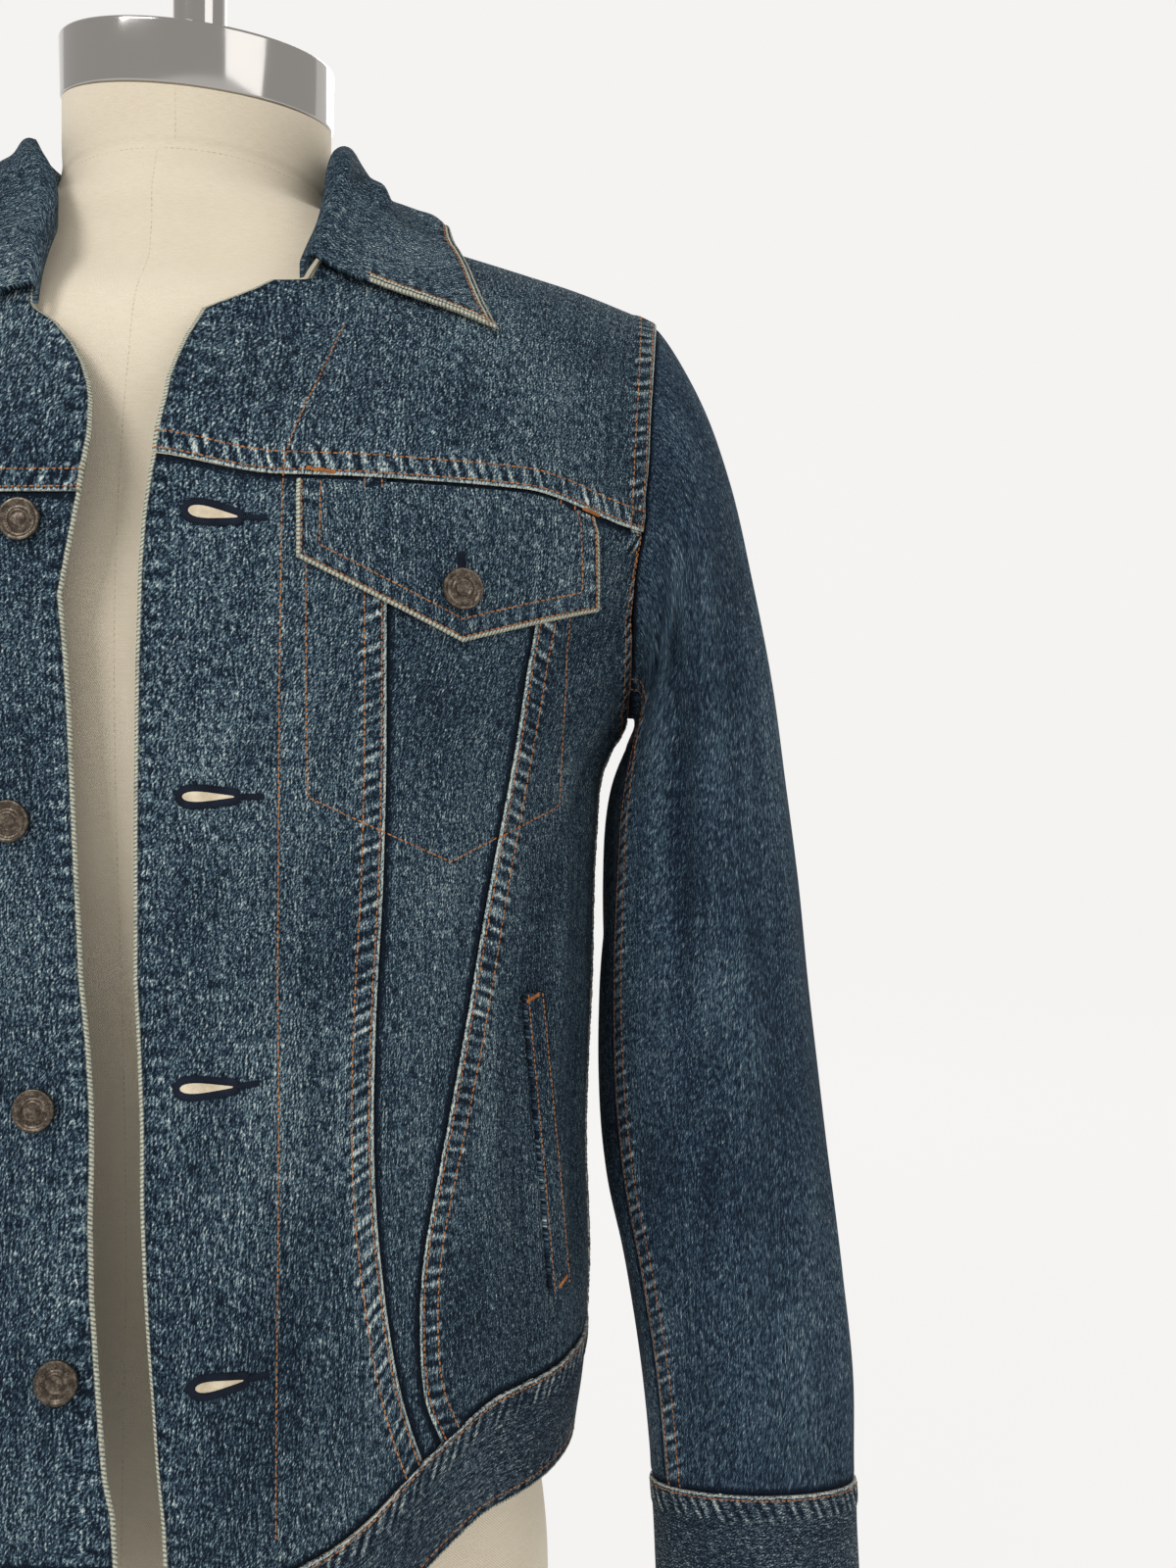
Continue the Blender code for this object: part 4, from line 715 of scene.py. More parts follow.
EdgePoint = namedtuple("EdgePoint", "x z")
LEFT_EDGE = table(
    EdgePoint,
    (35.5, 160), (34.5, 190), (32.6, 225.3), (31.5, 240.2), (28.8, 260.6), (26.6, 280.7),
    (23.1, 307.9), (20.8, 328.3), (18.4, 355.8), (17.2, 384.2), (15.2, 413.2), (13.1, 442.2),
    (13.1, 500), (13.6, 550.9), (13.9, 569), (15, 605.2), (16.6, 625.7), (18.9, 641.5),
    (20.5, 650),
)
LEFT_LAPEL = table(
    EdgePoint,
    (20.5, 650), (22.3, 664.5), (23.6, 672.7), (23.8, 682.9), (25.1, 693.1), (27, 704.5),
    (31.3, 719.3), (50.7, 730.7), (57, 735.5), (71.9, 737.2),
)
RIGHT_EDGE = table(
    EdgePoint,
    (-20, 160), (-18.5, 190), (-16.2, 227), (-14.4, 243.7), (-10.9, 257), (-8.6, 274.4),
    (-5.5, 298.6), (-2.6, 321.6), (-0.4, 349), (0, 370.2), (0.9, 391.4), (3.2, 415.9),
    (6.5, 442.2), (8.8, 488.4), (11.5, 550.9), (12.7, 569), (15, 594.1), (12.3, 608.7),
    (7.7, 632.6), (5.6, 648.6),
)
RIGHT_LAPEL = table(
    EdgePoint,
    (7.5, 634.5), (5.6, 648.6), (4.6, 658.2), (5.3, 666.1), (6.6, 675), (8.9, 682.3),
    (13.5, 692.3), (20, 702.6), (29.2, 713.1), (40.8, 721.5),
)
NecklineRow = namedtuple("NecklineRow", "k x roll")
NECKLINE = table(
    NecklineRow,
    (0, 71.9, 36.4), (1, 76.7, 44.8), (2, 78.2, 56), (3, 77.2, 72), (4, 74.5, 90), (5, 68, 106),
    (6, 52, 119), (7, 28, 126.5), (8, 0, 128.5),
    plain="k roll",
)
NECKLINE_RIGHT = table(
    NecklineRow,
    (0, 40.8, 28.1), (1, 42, 36.4), (2, 44, 48), (3, 60.5, 66),
    plain="k roll",
) + NECKLINE[4:]
SeamPoint = namedtuple("SeamPoint", "z inner outer")
FRONT_SEAMS = table(
    SeamPoint,
    (263.5, 125, 132.5), (285, 119.5, 126.2), (310, 114, 123.6), (335, 109.8, 124.2),
    (360, 106.6, 129), (385, 105.2, 134.3), (420, 105.8, 141.1), (480, 109, 151.2),
    (530, 110.4, 160.3), (580, 111, 168.8), (642, 111.4, 179),
)
BACK_SEAM_AT_YOKE, BACK_SEAM_AT_BAND = 0.128, 0.078
ARM_FRONT = float(turn_at(0.2155, YOKE_Z))
ARM_BACK = math.pi - ARM_FRONT
NECK_TURN = float(over_shoulder(NECKLINE[4].x, 90.0)[0])


def neck_place(k, rows):
    """(turn, level) on the neckline: 0 front corner, 4 shoulder, 8 centre back."""
    x = along_table(rows, "k", "x", k)
    return over_shoulder(np.maximum(x, 0.0), along_table(rows, "k", "roll", k))


def neckline(first, last, rows):
    return lambda t: neck_place(first + (last - first) * t, rows)


def on_side(sense, surface, place):
    """A trunk function read on the left side, or on the right side and mirrored (sense -1)."""
    turn, level = place
    return surface(sense * np.asarray(turn, float), level) * np.array([sense, 1.0, 1.0])


def level_line_up(turn):
    return lambda t: (np.full_like(t, turn), YOKE_Z + CAP_LENGTH * t)


def level_line(level, start, end):
    return lambda t: (start + (end - start) * t, np.full_like(t, level))


def edge_seam(rows, sense):
    """A path of (x, z) points on the front, read at shares of its length."""
    steps = [math.hypot(b.x - a.x, b.z - a.z) for a, b in zip(rows, rows[1:])]
    reach = np.concatenate([[0.0], np.cumsum(steps)]) / sum(steps)
    xs, zs = np.array([row.x for row in rows]), np.array([row.z for row in rows])

    def seam(t):
        turn, level = find_on_trunk(sense * np.interp(t, reach, xs), np.interp(t, reach, zs))
        return sense * turn, level

    return seam


def edge_by_level(rows, sense, low, high):
    """A front edge in equal steps of level, its x read from the table at its own height."""
    xs, zs = np.array([row.x for row in rows]), np.array([row.z for row in rows])

    def seam(t):
        level = low + (high - low) * np.asarray(t, float)
        x = np.interp(level, zs, xs)
        for _ in range(6):
            x = np.interp(trunk(sense * turn_at(x, level), level)[..., 2], zs, xs)
        return turn_at(x, level), level

    return seam


def v_seam(column):
    """A front V seam, from the waistband up to the yoke."""

    def seam(t):
        level = BAND_SEAM + (YOKE_Z - BAND_SEAM) * t
        return turn_at(along_table(FRONT_SEAMS, "z", column, level), level), level

    return seam


def back_seam(t):
    level = BAND_SEAM + (YOKE_Z - BAND_SEAM) * t
    x = BACK_SEAM_AT_BAND + (BACK_SEAM_AT_YOKE - BACK_SEAM_AT_BAND) * t
    return math.pi - turn_at(x, level), level


def side_seam(t):
    return np.full_like(t, QUARTER), BAND_SEAM + (UNDERARM_Z - BAND_SEAM) * t


def armhole_lower(t, back=False):
    """From the yoke seam down round to the underarm point, a quarter of an ellipse."""
    angle = QUARTER * (1.0 - t)
    level = YOKE_Z - (YOKE_Z - UNDERARM_Z) * np.cos(angle)
    depth = along_table(TRUNK, "z", "back" if back else "front", level)
    square = along_table(TRUNK, "z", "squareness", level)
    _, y = ring_xy(ARM_BACK if back else ARM_FRONT, YOKE_Z)
    share = np.clip(np.abs(y) * np.sin(angle) / depth, 0.0, 1.0)
    turn = np.arccos(share ** (square / 2.0))
    return (math.pi - turn if back else turn), level


def armhole_back_up(t):
    return armhole_lower(1.0 - t, back=True)


def joined(first, second, share):
    """Two seams end to end as one: the first takes this share of 0..1."""

    def seam(t):
        t = np.asarray(t, float)
        a = first(np.clip(t / share, 0.0, 1.0))
        b = second(np.clip((t - share) / (1.0 - share), 0.0, 1.0))
        return tuple(np.where(t <= share + 1e-9, p, q) for p, q in zip(a, b))

    return seam


def start_of(seam):
    return tuple(float(value[0]) for value in seam(np.zeros(1)))


def end_of(seam):
    return tuple(float(value[0]) for value in seam(np.ones(1)))


def patch(bottom, top, left, right, s, t):
    """(turn, level) grids that fill the space between four seams."""
    s, t = s[None, :], t[:, None]
    corners = [start_of(bottom), end_of(bottom), start_of(top), end_of(top)]
    grids = []
    for axis in (0, 1):
        low, high = bottom(s[0])[axis][None, :], top(s[0])[axis][None, :]
        near, far = left(t[:, 0])[axis][:, None], right(t[:, 0])[axis][:, None]
        c00, c10, c01, c11 = (corner[axis] for corner in corners)
        bilinear = (1 - s) * (1 - t) * c00 + s * (1 - t) * c10 + (1 - s) * t * c01 + s * t * c11
        grids.append((1 - t) * low + t * high + (1 - s) * near + s * far - bilinear)
    return grids


def run_along(points, axis):
    """Length along a grid's lines from their first point."""
    steps = np.linalg.norm(np.diff(points, axis=axis), axis=-1)
    pad = [(0, 0), (0, 0)]
    pad[axis] = (1, 0)
    return np.pad(np.cumsum(steps, axis=axis), pad)


def lines(length, cell, near=0.0016, band=0.0125):
    """Shares of 0..1 for grid lines: close together near both ends, where the seams are."""
    band = min(band, length * 0.4)
    close = np.linspace(0.0, band, max(2, int(round(band / near)) + 1))
    count = max(2, int(round((length - 2 * band) / cell)) + 1)
    middle = np.linspace(band, length - band, count)[1:-1]
    return np.concatenate([close, middle, length - close[::-1]]) / length


# Creases: soft troughs (below zero) and ridges pressed in by wear, listed one by one. u is the
# distance round from the centre front at the mean girth, v the level; lean is its slope.
Crease = namedtuple("Crease", "u v length width height lean bend")
GIRTH_RADIUS = 0.178
BODY_CREASES = table(
    Crease,
    # left front, from the edge outward
    (40, 560, 60, 6.5, 0.7, 78, 4), (34, 470, 50, 6, -0.6, 96, 3), (50, 400, 70, 8.5, 1, 84, 6),
    (60, 330, 60, 9, -1, 80, 5), (86, 500, 110, 9, -1.1, 92, -6), (92, 350, 80, 8, 1, 95, 5),
    (140, 470, 70, 8, -1.2, 83, 6), (150, 380, 80, 10, 1.2, 86, -6),
    (176, 330, 70, 9, -1.2, 94, 4), (205, 430, 110, 11, 1.6, 84, 8),
    (225, 520, 50, 7, -1.4, 55, 6), (190, 590, 50, 8, -1, 35, 6), (235, 340, 80, 10, -1.3, 92, 4),
    (61, 560, 80, 4.5, 1, 90, 0), (60, 400, 80, 4.5, 0.9, 91, 0), (90, 700, 60, 9, 0.9, 70, 4),
    (150, 720, 50, 10, -0.8, 40, 4), (200, 690, 50, 8, 0.8, 60, 4),
    # right front
    (-30, 530, 60, 7, 0.7, 84, 4), (-48, 430, 60, 8.5, -0.9, 98, 5), (-70, 340, 70, 9, 1, 88, 5),
    (-96, 500, 90, 9, -1, 90, 6), (-150, 400, 90, 10, 1.3, 96, 6),
    (-190, 340, 80, 10, -1.2, 88, 5), (-215, 480, 80, 10, 1.4, 100, 6),
    (-228, 540, 45, 7, -1.3, 128, 6), (-120, 700, 60, 10, 0.9, 110, 4),
    (-190, 700, 50, 9, -0.9, 120, 4),
    # back
    (330, 520, 70, 10, -1.6, 130, 10), (350, 450, 90, 11, 1.4, 118, 8),
    (400, 380, 90, 12, -1.4, 100, 8), (450, 540, 100, 12, 1.2, 95, 6),
    (480, 330, 60, 10, -1.2, 82, 6), (540, 420, 110, 12, 1.4, 92, -6),
    (600, 350, 70, 11, -1.3, 96, 5), (640, 540, 90, 12, 1.2, 86, 6),
    (700, 380, 90, 12, -1.4, 80, 8), (760, 460, 90, 11, 1.4, 64, 8),
    (790, 530, 60, 10, -1.6, 50, 10), (480, 730, 60, 12, -1, 20, 4),
    (620, 720, 70, 12, 1, 160, 4), (560, 680, 80, 12, -0.8, 5, 4),
    plain="lean",
)


def crease_height(rows, u, v):
    """All the creases of a table at these places, as a height off the plain surface."""
    total = np.zeros(np.broadcast(u, v).shape)
    for row in rows:
        lean = math.radians(row.lean)
        du, dv = u - row.u, v - row.v
        along = (du * math.cos(lean) + dv * math.sin(lean)) / row.length
        across = dv * math.cos(lean) - du * math.sin(lean) - row.bend * along * along
        total = total + row.height * hump(1.0, along) * hump(row.width, across)
    return total


# How a panel's edge is finished. A folded edge is the turned and worn edge of a front, flap
# or hem. An over edge laps its neighbour in a felled seam: a raised strip with two rows of
# stitches, roped by washing. An under edge goes beneath the neighbour's strip.
Edge = namedtuple("Edge", "side kind first last")


def worked(*notes):
    """Edges from notes such as "top over 0.25 1": a side, its kind and the share it covers."""
    rows = (note.split() for note in notes)
    return [Edge(side, kind, *map(float, span or (0, 1))) for side, kind, *span in rows]


FELL_WIDTH = 0.0110
FELL_LIFT = 0.0008
FOLD_ROLL = 0.0006
FAR_OFF = 0.05               # the distance given to cloth with no such edge
ROPE_HEIGHT, PUCKER_HEIGHT, EDGE_DROP = 0.00042, 0.00028, 0.0005
Panel = namedtuple("Panel", "points reach run tree")


def unevenly(run, sine):
    """An uneven wave along a seam, about 6 mm from ridge to ridge."""
    drift = sine(run * 41.0) * 1.5 + sine(run * 97.0 + 1.0) * 1.0
    return sine(run * 1050.0 + drift) * 0.7 + sine(run * 1570.0 + drift * 2.0) * 0.3


def window(share, edge):
    """1 along the part of a side that an edge row covers, softly ended inside the side."""
    low = ease(edge.first - 0.02, edge.first + 0.004, share) if edge.first > 0.0 else 1.0
    high = 1.0 - ease(edge.last - 0.004, edge.last + 0.02, share) if edge.last < 1.0 else 1.0
    return low * high


def cut(name, points, normals, edges, cloths, nodes, relief=0.0, mirrored=False,
        grain="long", thickness=WALL, rests_on="form_torso", warp=None):
    """A cloth piece through a grid of points, with its edges worked.

    edges name the sides by the grid: left and right are its first and last columns, low and
    top its first and last rows. mirrored turns the finished grid over for the right side.
    """
    rows, columns = points.shape[:2]
    along, up = run_along(points, 1), run_along(points, 0)
    reach = {"left": along, "right": along[:, -1:] - along, "low": up, "top": up[-1:] - up}
    run = {"left": np.repeat(up[:, :1], columns, 1), "right": np.repeat(up[:, -1:], columns, 1),
           "low": np.repeat(along[:1], rows, 0), "top": np.repeat(along[-1:], rows, 0)}
    height = np.zeros((rows, columns)) + relief
    marks = {key: np.full((rows, columns), FAR_OFF) for key in ("fold", "fell", "under")}
    marks.update({key: np.zeros((rows, columns)) for key in ("fold_run", "fell_run")})
    for edge in edges:
        off, at = reach[edge.side], run[edge.side]
        there = window(at / max(at.max(), 1e-6), edge)
        if edge.kind == "over":
            strip = 1.0 - ease(FELL_WIDTH - 0.0015, FELL_WIDTH + 0.0018, off)
            roping = hump(0.0042, off - FELL_WIDTH * 0.5) * unevenly(at, np.sin)
            pucker = hump(0.0060, off - FELL_WIDTH - 0.002) * unevenly(at * 0.71 + 3.0, np.sin)
            border = 1.0 - ease(0.0, 0.0012, off)
            height += there * (FELL_LIFT * strip + ROPE_HEIGHT * roping + PUCKER_HEIGHT * pucker
                               - 0.0003 * border)
            key = "fell"
        elif edge.kind == "under":
            pucker = hump(0.0050, off - 0.004) * unevenly(at, np.sin)
            height += there * (0.0003 * pucker - EDGE_DROP * (1.0 - ease(0.0, 0.0035, off)))
            key = "under"
        else:
            roll = hump(0.0010, off - 0.0012)
            border = 1.0 - ease(0.0, 0.0010, off)
            pucker = hump(0.0050, off - 0.0055) * unevenly(at * 0.8 + 1.0, np.sin)
            height += there * (FOLD_ROLL * roll - EDGE_DROP * border + PUCKER_HEIGHT * pucker)
            key = "fold"
        here = np.where(there > 0.5, off, FAR_OFF)
        nearer = here < marks[key]
        marks[key] = np.where(nearer, here, marks[key])
        if key + "_run" in marks:
            marks[key + "_run"] = np.where(nearer, at, marks[key + "_run"])
    outer = points + normals * height[..., None]
    if mirrored:
        outer = outer[:, ::-1]
        reach = {key: value[:, ::-1] for key, value in reach.items()}
        marks = {key: value[:, ::-1] for key, value in marks.items()}
        run = {key: value[:, ::-1] for key, value in run.items()}
        height = height[:, ::-1]
        warp = warp and tuple(part[:, ::-1] for part in warp)
    mesh, (row, column) = grid_mesh(name, outer)
    for key, values in [*marks.items(), ("relief", height * 1000.0)]:
        mark = mesh.attributes.new(key, "FLOAT", "POINT")
        mark.data.foreach_set("value", values[row, column].ravel())
    middle = (reach["left"] - reach["right"]) * 0.5
    u, v = (middle, reach["low"]) if grain == "long" else (reach["low"], middle)
    u, v = warp or (u, v)
    grain_map = mesh.uv_layers.new(name="grain")
    corner = np.empty(len(mesh.loops), int)
    mesh.loops.foreach_get("vertex_index", corner)
    spots = np.stack([u[row, column], v[row, column]], axis=-1)[corner]
    grain_map.data.foreach_set("uv", spots.ravel())
    mesh.shade_smooth()
    shell = bmesh.new()
    shell.from_mesh(mesh)
    tree = BVHTree.FromBMesh(shell)
    area = sum(face.calc_area() for face in shell.faces)
    shell.free()
    piece = add_piece(name, mesh, cloths)
    wall = piece.modifiers.new("wall", "SOLIDIFY")
    wall.thickness = thickness
    wall.offset = -1.0
    wall.material_offset = 1
    wall.use_even_offset = False
    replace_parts(piece, *nodes)
    return Panel(outer, reach, run, tree)


# The denim: a heavy right-hand twill, its warp dyed indigo and its weft left pale, washed
# and worn until the ridges are whitish; the recesses are darker, partly from that wear and partly
# as painted shade.
TWILL_PITCH = 0.00115
Indigo = namedtuple("Indigo", "deep dark middle light bleached")
BODY_INDIGO = Indigo(tone(14, 22, 32), tone(30, 45, 59), tone(58, 78, 93), tone(118, 138, 144),
                     tone(210, 214, 202))
WORN_CREAM = tone(203, 200, 176)
ROPE_BLUE = tone(84, 100, 108)


def denim_finish(name, dyes, streaks=1.0, fade=0.0, cords=1):
    """Denim that reads its grain map and how far it is from folded and felled edges."""
    cloth = Finish(name, Roughness=0.9, Specular_IOR_Level=0.10)
    u, v, _ = cloth.parts(cloth.place("grain"))
    slub = cloth.noise(cloth.joined(u * 1400.0, v * 230.0), detail=2.0, roughness=0.65)
    long_slub = cloth.noise(cloth.joined(u * 330.0, v * 14.0 + 4.0), detail=3.0, roughness=0.6)
    fleck = cloth.noise(cloth.joined((u - v * 0.5) * 1700.0, (v + u * 0.5) * 720.0),
                        detail=2.0, roughness=0.7)
    twill = ((u * 0.866 - v * 0.5) * (TURN / TWILL_PITCH) + fleck * 3.0).sine()
    cloud = cloth.noise(cloth.place(), scale=13.0, detail=4.0, roughness=0.6)
    relief = cloth.attribute("relief")
    # roped, worn edges, with painted shadow inside the folded edges and along the edges that go
    # under a felled strip
    fold, fold_run = cloth.attribute("fold"), cloth.attribute("fold_run")
    fell, fell_run = cloth.attribute("fell"), cloth.attribute("fell_run")
    under = cloth.attribute("under")
    rope = unevenly(fell_run + fell * 0.45, Signal.sine)
    blotch = cloth.noise(cloth.joined(fell_run * 210.0, fell * 90.0 + 7.0), detail=3.0)
    strip = fell.fade(FELL_WIDTH + 0.002, FELL_WIDTH - 0.002) * fell.fade(0.0008, 0.0026)
    ladder = (rope * 0.5 + 0.5) * strip
    beside_fold = fold.fade(0.012, 0.005) * fold.fade(0.001, 0.003)
    pucker = unevenly(fold_run * 0.8 + 1.0, Signal.sine) * beside_fold
    # painted shadow: darker cloth along an edge that goes under a neighbour's felled strip
    painted_seam_shadow = under.fade(0.0042, 0.0004)
    shade = (0.345 + fade + (slub - 0.5) * (1.55 * streaks) + (long_slub - 0.5) * (0.42 * streaks)
             + twill * 0.06 + (fleck - 0.5) * 2.00 + (cloud - 0.5) * 0.42)
    # the surface height (creases and seam ridges) makes ridges lighter and troughs darker: partly
    # wear, partly painted shade in the creases
    shade = shade + relief * 0.04 + ladder * (blotch * 1.05) - strip * 0.27 + pucker * 0.14
    shade = shade + fell.fade(0.0016, 0.0004) * 0.46 - painted_seam_shadow * 0.46
    dye = cloth.ramp(shade, ((0.10, dyes.deep), (0.31, dyes.dark), (0.47, dyes.middle),
                             (0.68, dyes.light), (0.95, dyes.bleached)))
    twist = (fold_run * (TURN / 0.0017) - fold * 1400.0
             + (cloth.noise(cloth.place(), scale=160.0) - 0.5) * 4.0).sine() * 0.5 + 0.5
    rope_mask = fold.fade(0.0021, 0.0012)
    if cords == 2:
        rope_mask = rope_mask.above(fold.fade(0.0026, 0.0031) * fold.fade(0.0044, 0.0037))
    # painted shadow: a darker band just inside the roped fold edges, where the rolled edge casts
    # shade
    shadow = fold.fade(0.0042 * cords, 0.0026 * cords) * 0.45
    worn_in = cloth.noise(cloth.joined(fold_run * 60.0, 2.0), detail=2.0).fade(0.28, 0.48)
    rope_tone = cloth.mix((twist * 0.55 + fleck * 0.9).fade(0.30, 0.95), ROPE_BLUE, WORN_CREAM)
    dye_with_painted_shadow = cloth.mix(shadow, dye, dyes.deep)
    cloth.give("Base Color", cloth.mix(rope_mask * (worn_in * 0.35 + 0.65), dye_with_painted_shadow, rope_tone))
    cloth.raise_by(slub * 0.5 + twill * 0.25 + fleck * 0.6 + ladder * 0.8 + twist * rope_mask * 0.5,
                   0.0005, 0.7)
    return cloth.material


BODY_DENIM = denim_finish("denim_body", BODY_INDIGO)
# painted shade: the side panels' denim is a darker copy of the body's, for the sides that turn away
# from the light
SHADED_SIDE_DENIM = denim_finish("denim_side", BODY_INDIGO, fade=-0.05)


def pale_inside():
    """The denim's inner face, where the undyed weft shows."""
    cloth = Finish("denim_inside", Roughness=0.9, Specular_IOR_Level=0.15)
    u, v, _ = cloth.parts(cloth.place("grain"))
    slub = cloth.noise(cloth.joined(u * 900.0, v * 120.0), detail=2.0)
    fleck = cloth.noise(cloth.joined(u * 2000.0, v * 1400.0), detail=1.0)
    twill = ((u * 0.866 + v * 0.5) * (TURN / TWILL_PITCH)).sine()
    shade = 0.5 + (slub - 0.5) * 0.5 + (fleck - 0.5) * 0.5 + twill * 0.1
    cloth.give("Base Color", cloth.ramp(shade, (
        (0.25, tone(74, 88, 106)), (0.5, tone(116, 128, 140)), (0.8, tone(158, 164, 166)))))
    cloth.raise_by(slub * 0.6 + fleck * 0.5, 0.0004, 0.6)
    return cloth.material


PALE_INSIDE = pale_inside()

# ---------------------------------------------------------------- the fronts and the sides
# Each front is a yoke, a front panel with the turned edge, a pocket panel that widens up to
# the yoke and a side panel, in denim with the warp upright, joined by felled V seams.

FRONT_CELL = 0.0030
BACK_CELL = 0.0044


def trunk_panel(name, seams, edges, cell, cloth, node, right=False):
    """A panel of the body between four seams, given for the left side of the body."""
    shares = np.linspace(0.0, 1.0, 9)
    turn, level = patch(*seams, shares, shares)
    size = trunk(turn, level)
    width = run_along(size, 1)[:, -1].max()
    length = run_along(size, 0)[-1].max()
    turn, level = patch(*seams, lines(width, cell), lines(length, cell * 1.15))
    real_turn = TURN - turn if right else turn
    points = trunk(real_turn, level)
    normals = trunk_normal(real_turn, level)
    round_from_front = (np.mod(real_turn + math.pi * 0.5, TURN) - math.pi * 0.5) * GIRTH_RADIUS
    relief = crease_height(BODY_CREASES, round_from_front, level)
    return cut(name, points, normals, edges, [cloth, PALE_INSIDE], [node], relief, right,
               warp=(round_from_front, level))


panels = {}
for side, edge_rows, lapel_rows, neck_rows in (
    ("left", LEFT_EDGE, LEFT_LAPEL, NECKLINE), ("right", RIGHT_EDGE, RIGHT_LAPEL, NECKLINE_RIGHT),
):
    right = side == "right"
    sense = -1 if right else 1
    front_edge = edge_by_level(edge_rows, sense, BAND_SEAM, YOKE_Z)
    lapel_edge = edge_seam(lapel_rows, sense)
    inner, outer = v_seam("inner"), v_seam("outer")
    edge_foot, inner_foot, outer_foot = (start_of(seam)[0] for seam in (front_edge, inner, outer))
    edge_top, inner_top, outer_top = (end_of(seam)[0] for seam in (front_edge, inner, outer))
    panels["front_panel_" + side] = trunk_panel(
        "jacket_front_" + side,
        (level_line(BAND_SEAM, edge_foot, inner_foot), level_line(YOKE_Z, edge_top, inner_top),
         front_edge, inner),
        worked("left fold", "right over", "low under", "top under"),
        FRONT_CELL, BODY_DENIM, "front_panel_" + side, right)
    panels["pocket_panel_" + side] = trunk_panel(
        "jacket_pocket_panel_" + side,
        (level_line(BAND_SEAM, inner_foot, outer_foot), level_line(YOKE_Z, inner_top, outer_top),
         inner, outer),
        worked("left under", "right under", "low under", "top under"),
        FRONT_CELL, BODY_DENIM, "pocket_panel_" + side, right)
    panels["side_panel_" + side] = trunk_panel(
        "jacket_side_" + side,
        (level_line(BAND_SEAM, outer_foot, QUARTER),
         joined(level_line(YOKE_Z, outer_top, ARM_FRONT), armhole_lower, 2 / 8), outer, side_seam),
        worked("left over", "right under", "low under", "top under 0 0.25", "top over 0.25 1"),
        FRONT_CELL, SHADED_SIDE_DENIM, "side_panel_" + side, right)
    panels["front_yoke_" + side] = trunk_panel(
        "jacket_front_yoke_" + side,
        (level_line(YOKE_Z, edge_top, ARM_FRONT), level_line(TOP, NECK_TURN, ARM_FRONT),
         joined(lapel_edge, neckline(0, 4, neck_rows), 5 / 9), level_line_up(ARM_FRONT)),
        worked("low over", "right over", "top under", "left fold 0 0.62"),
        FRONT_CELL, BODY_DENIM, "front_yoke_" + side, right)

# ---------------------------------------------------------------- the back
# A yoke across the shoulders, a centre back that tapers to the waistband, and two side
# backs whose felled seams mirror the V of the front.

for side in ("left", "right"):
    right = side == "right"
    seam_foot, seam_top = start_of(back_seam)[0], end_of(back_seam)[0]
    panels["back_side_" + side] = trunk_panel(
        "jacket_back_side_" + side,
        (level_line(BAND_SEAM, QUARTER, seam_foot),
         joined(armhole_back_up, level_line(YOKE_Z, ARM_BACK, seam_top), 6 / 9),
         side_seam, back_seam),
        worked("left over", "right over", "low under", "top over 0 0.64", "top under 0.68 1"),
        BACK_CELL, SHADED_SIDE_DENIM, "back_side_" + side, right)


def mirror_turn(seam):
    """The same seam on the wearer's right."""

    def mirrored_seam(t):
        turn, level = seam(t)
        return TURN - turn, level

    return mirrored_seam


panels["back_centre"] = trunk_panel(
    "jacket_back",
    (level_line(BAND_SEAM, seam_foot, TURN - seam_foot),
     level_line(YOKE_Z, seam_top, TURN - seam_top), back_seam, mirror_turn(back_seam)),
    worked("left under", "right under", "low under", "top under"),
    BACK_CELL, BODY_DENIM, "back_centre")
YOKE_SHOULDER_SHARE = 10 / 16
half_top = joined(level_line(TOP, ARM_BACK, math.pi - NECK_TURN), neckline(4, 8, NECKLINE),
                  YOKE_SHOULDER_SHARE)


def whole_top(t):
    turn, level = half_top(np.where(t <= 0.5, 2 * t, 2 - 2 * t))
    return np.where(t <= 0.5, turn, TURN - turn), level


panels["back_yoke"] = trunk_panel(
    "jacket_back_yoke",
    (level_line(YOKE_Z, ARM_BACK, TURN - ARM_BACK), whole_top,
     level_line_up(ARM_BACK), level_line_up(TURN - ARM_BACK)),
    worked("low over", "left over", "right over", "top over 0 0.31", "top over 0.69 1"),
    BACK_CELL, BODY_DENIM, "back_yoke")

# ---------------------------------------------------------------- the waistband
# A straight doubled band with its warp running round the hem, sewn over the panels' lower
# edges with one row of stitches, and folded at the hem and at its two ends.

BAND_INDIGO = Indigo(tone(13, 20, 30), tone(27, 40, 53), tone(52, 68, 81), tone(104, 119, 126),
                     tone(198, 198, 186))
BAND_DENIM = denim_finish("denim_waistband", BAND_INDIGO, fade=-0.02)
BAND_LIFT = 0.0004
BAND_CELL = 0.0034

left_foot = edge_by_level(LEFT_EDGE, 1, BAND_SEAM - BAND_DEPTH, BAND_SEAM)
right_foot = edge_by_level(RIGHT_EDGE, -1, BAND_SEAM - BAND_DEPTH, BAND_SEAM)
BAND_GIRTH = 1.06
up_shares = lines(BAND_DEPTH, 0.0022, 0.0011, 0.008)
round_shares = lines(BAND_GIRTH, BAND_CELL)
band_start = left_foot(up_shares)[0][:, None]
band_end = TURN - right_foot(up_shares)[0][:, None]
turn = band_start + (band_end - band_start) * round_shares[None, :]
level = np.broadcast_to((BAND_SEAM - BAND_DEPTH * (1 - up_shares))[:, None], turn.shape)
normals = trunk_normal(turn, level)
panels["waistband"] = cut(
    "jacket_waistband", trunk(turn, level) + BAND_LIFT * normals, normals,
    worked("top over", "low fold", "left fold", "right fold"),
    [BAND_DENIM, PALE_INSIDE], ["waistband"],
    crease_height(BODY_CREASES, turn * GIRTH_RADIUS, level), grain="cross", thickness=DOUBLE_WALL)

# ---------------------------------------------------------------- the chest pockets
# A pointed flap hangs from each yoke seam over the pocket, doubled, edge-stitched and
# stitched again a finger's width in. The pocket bag behind shows as its outline of stitches.

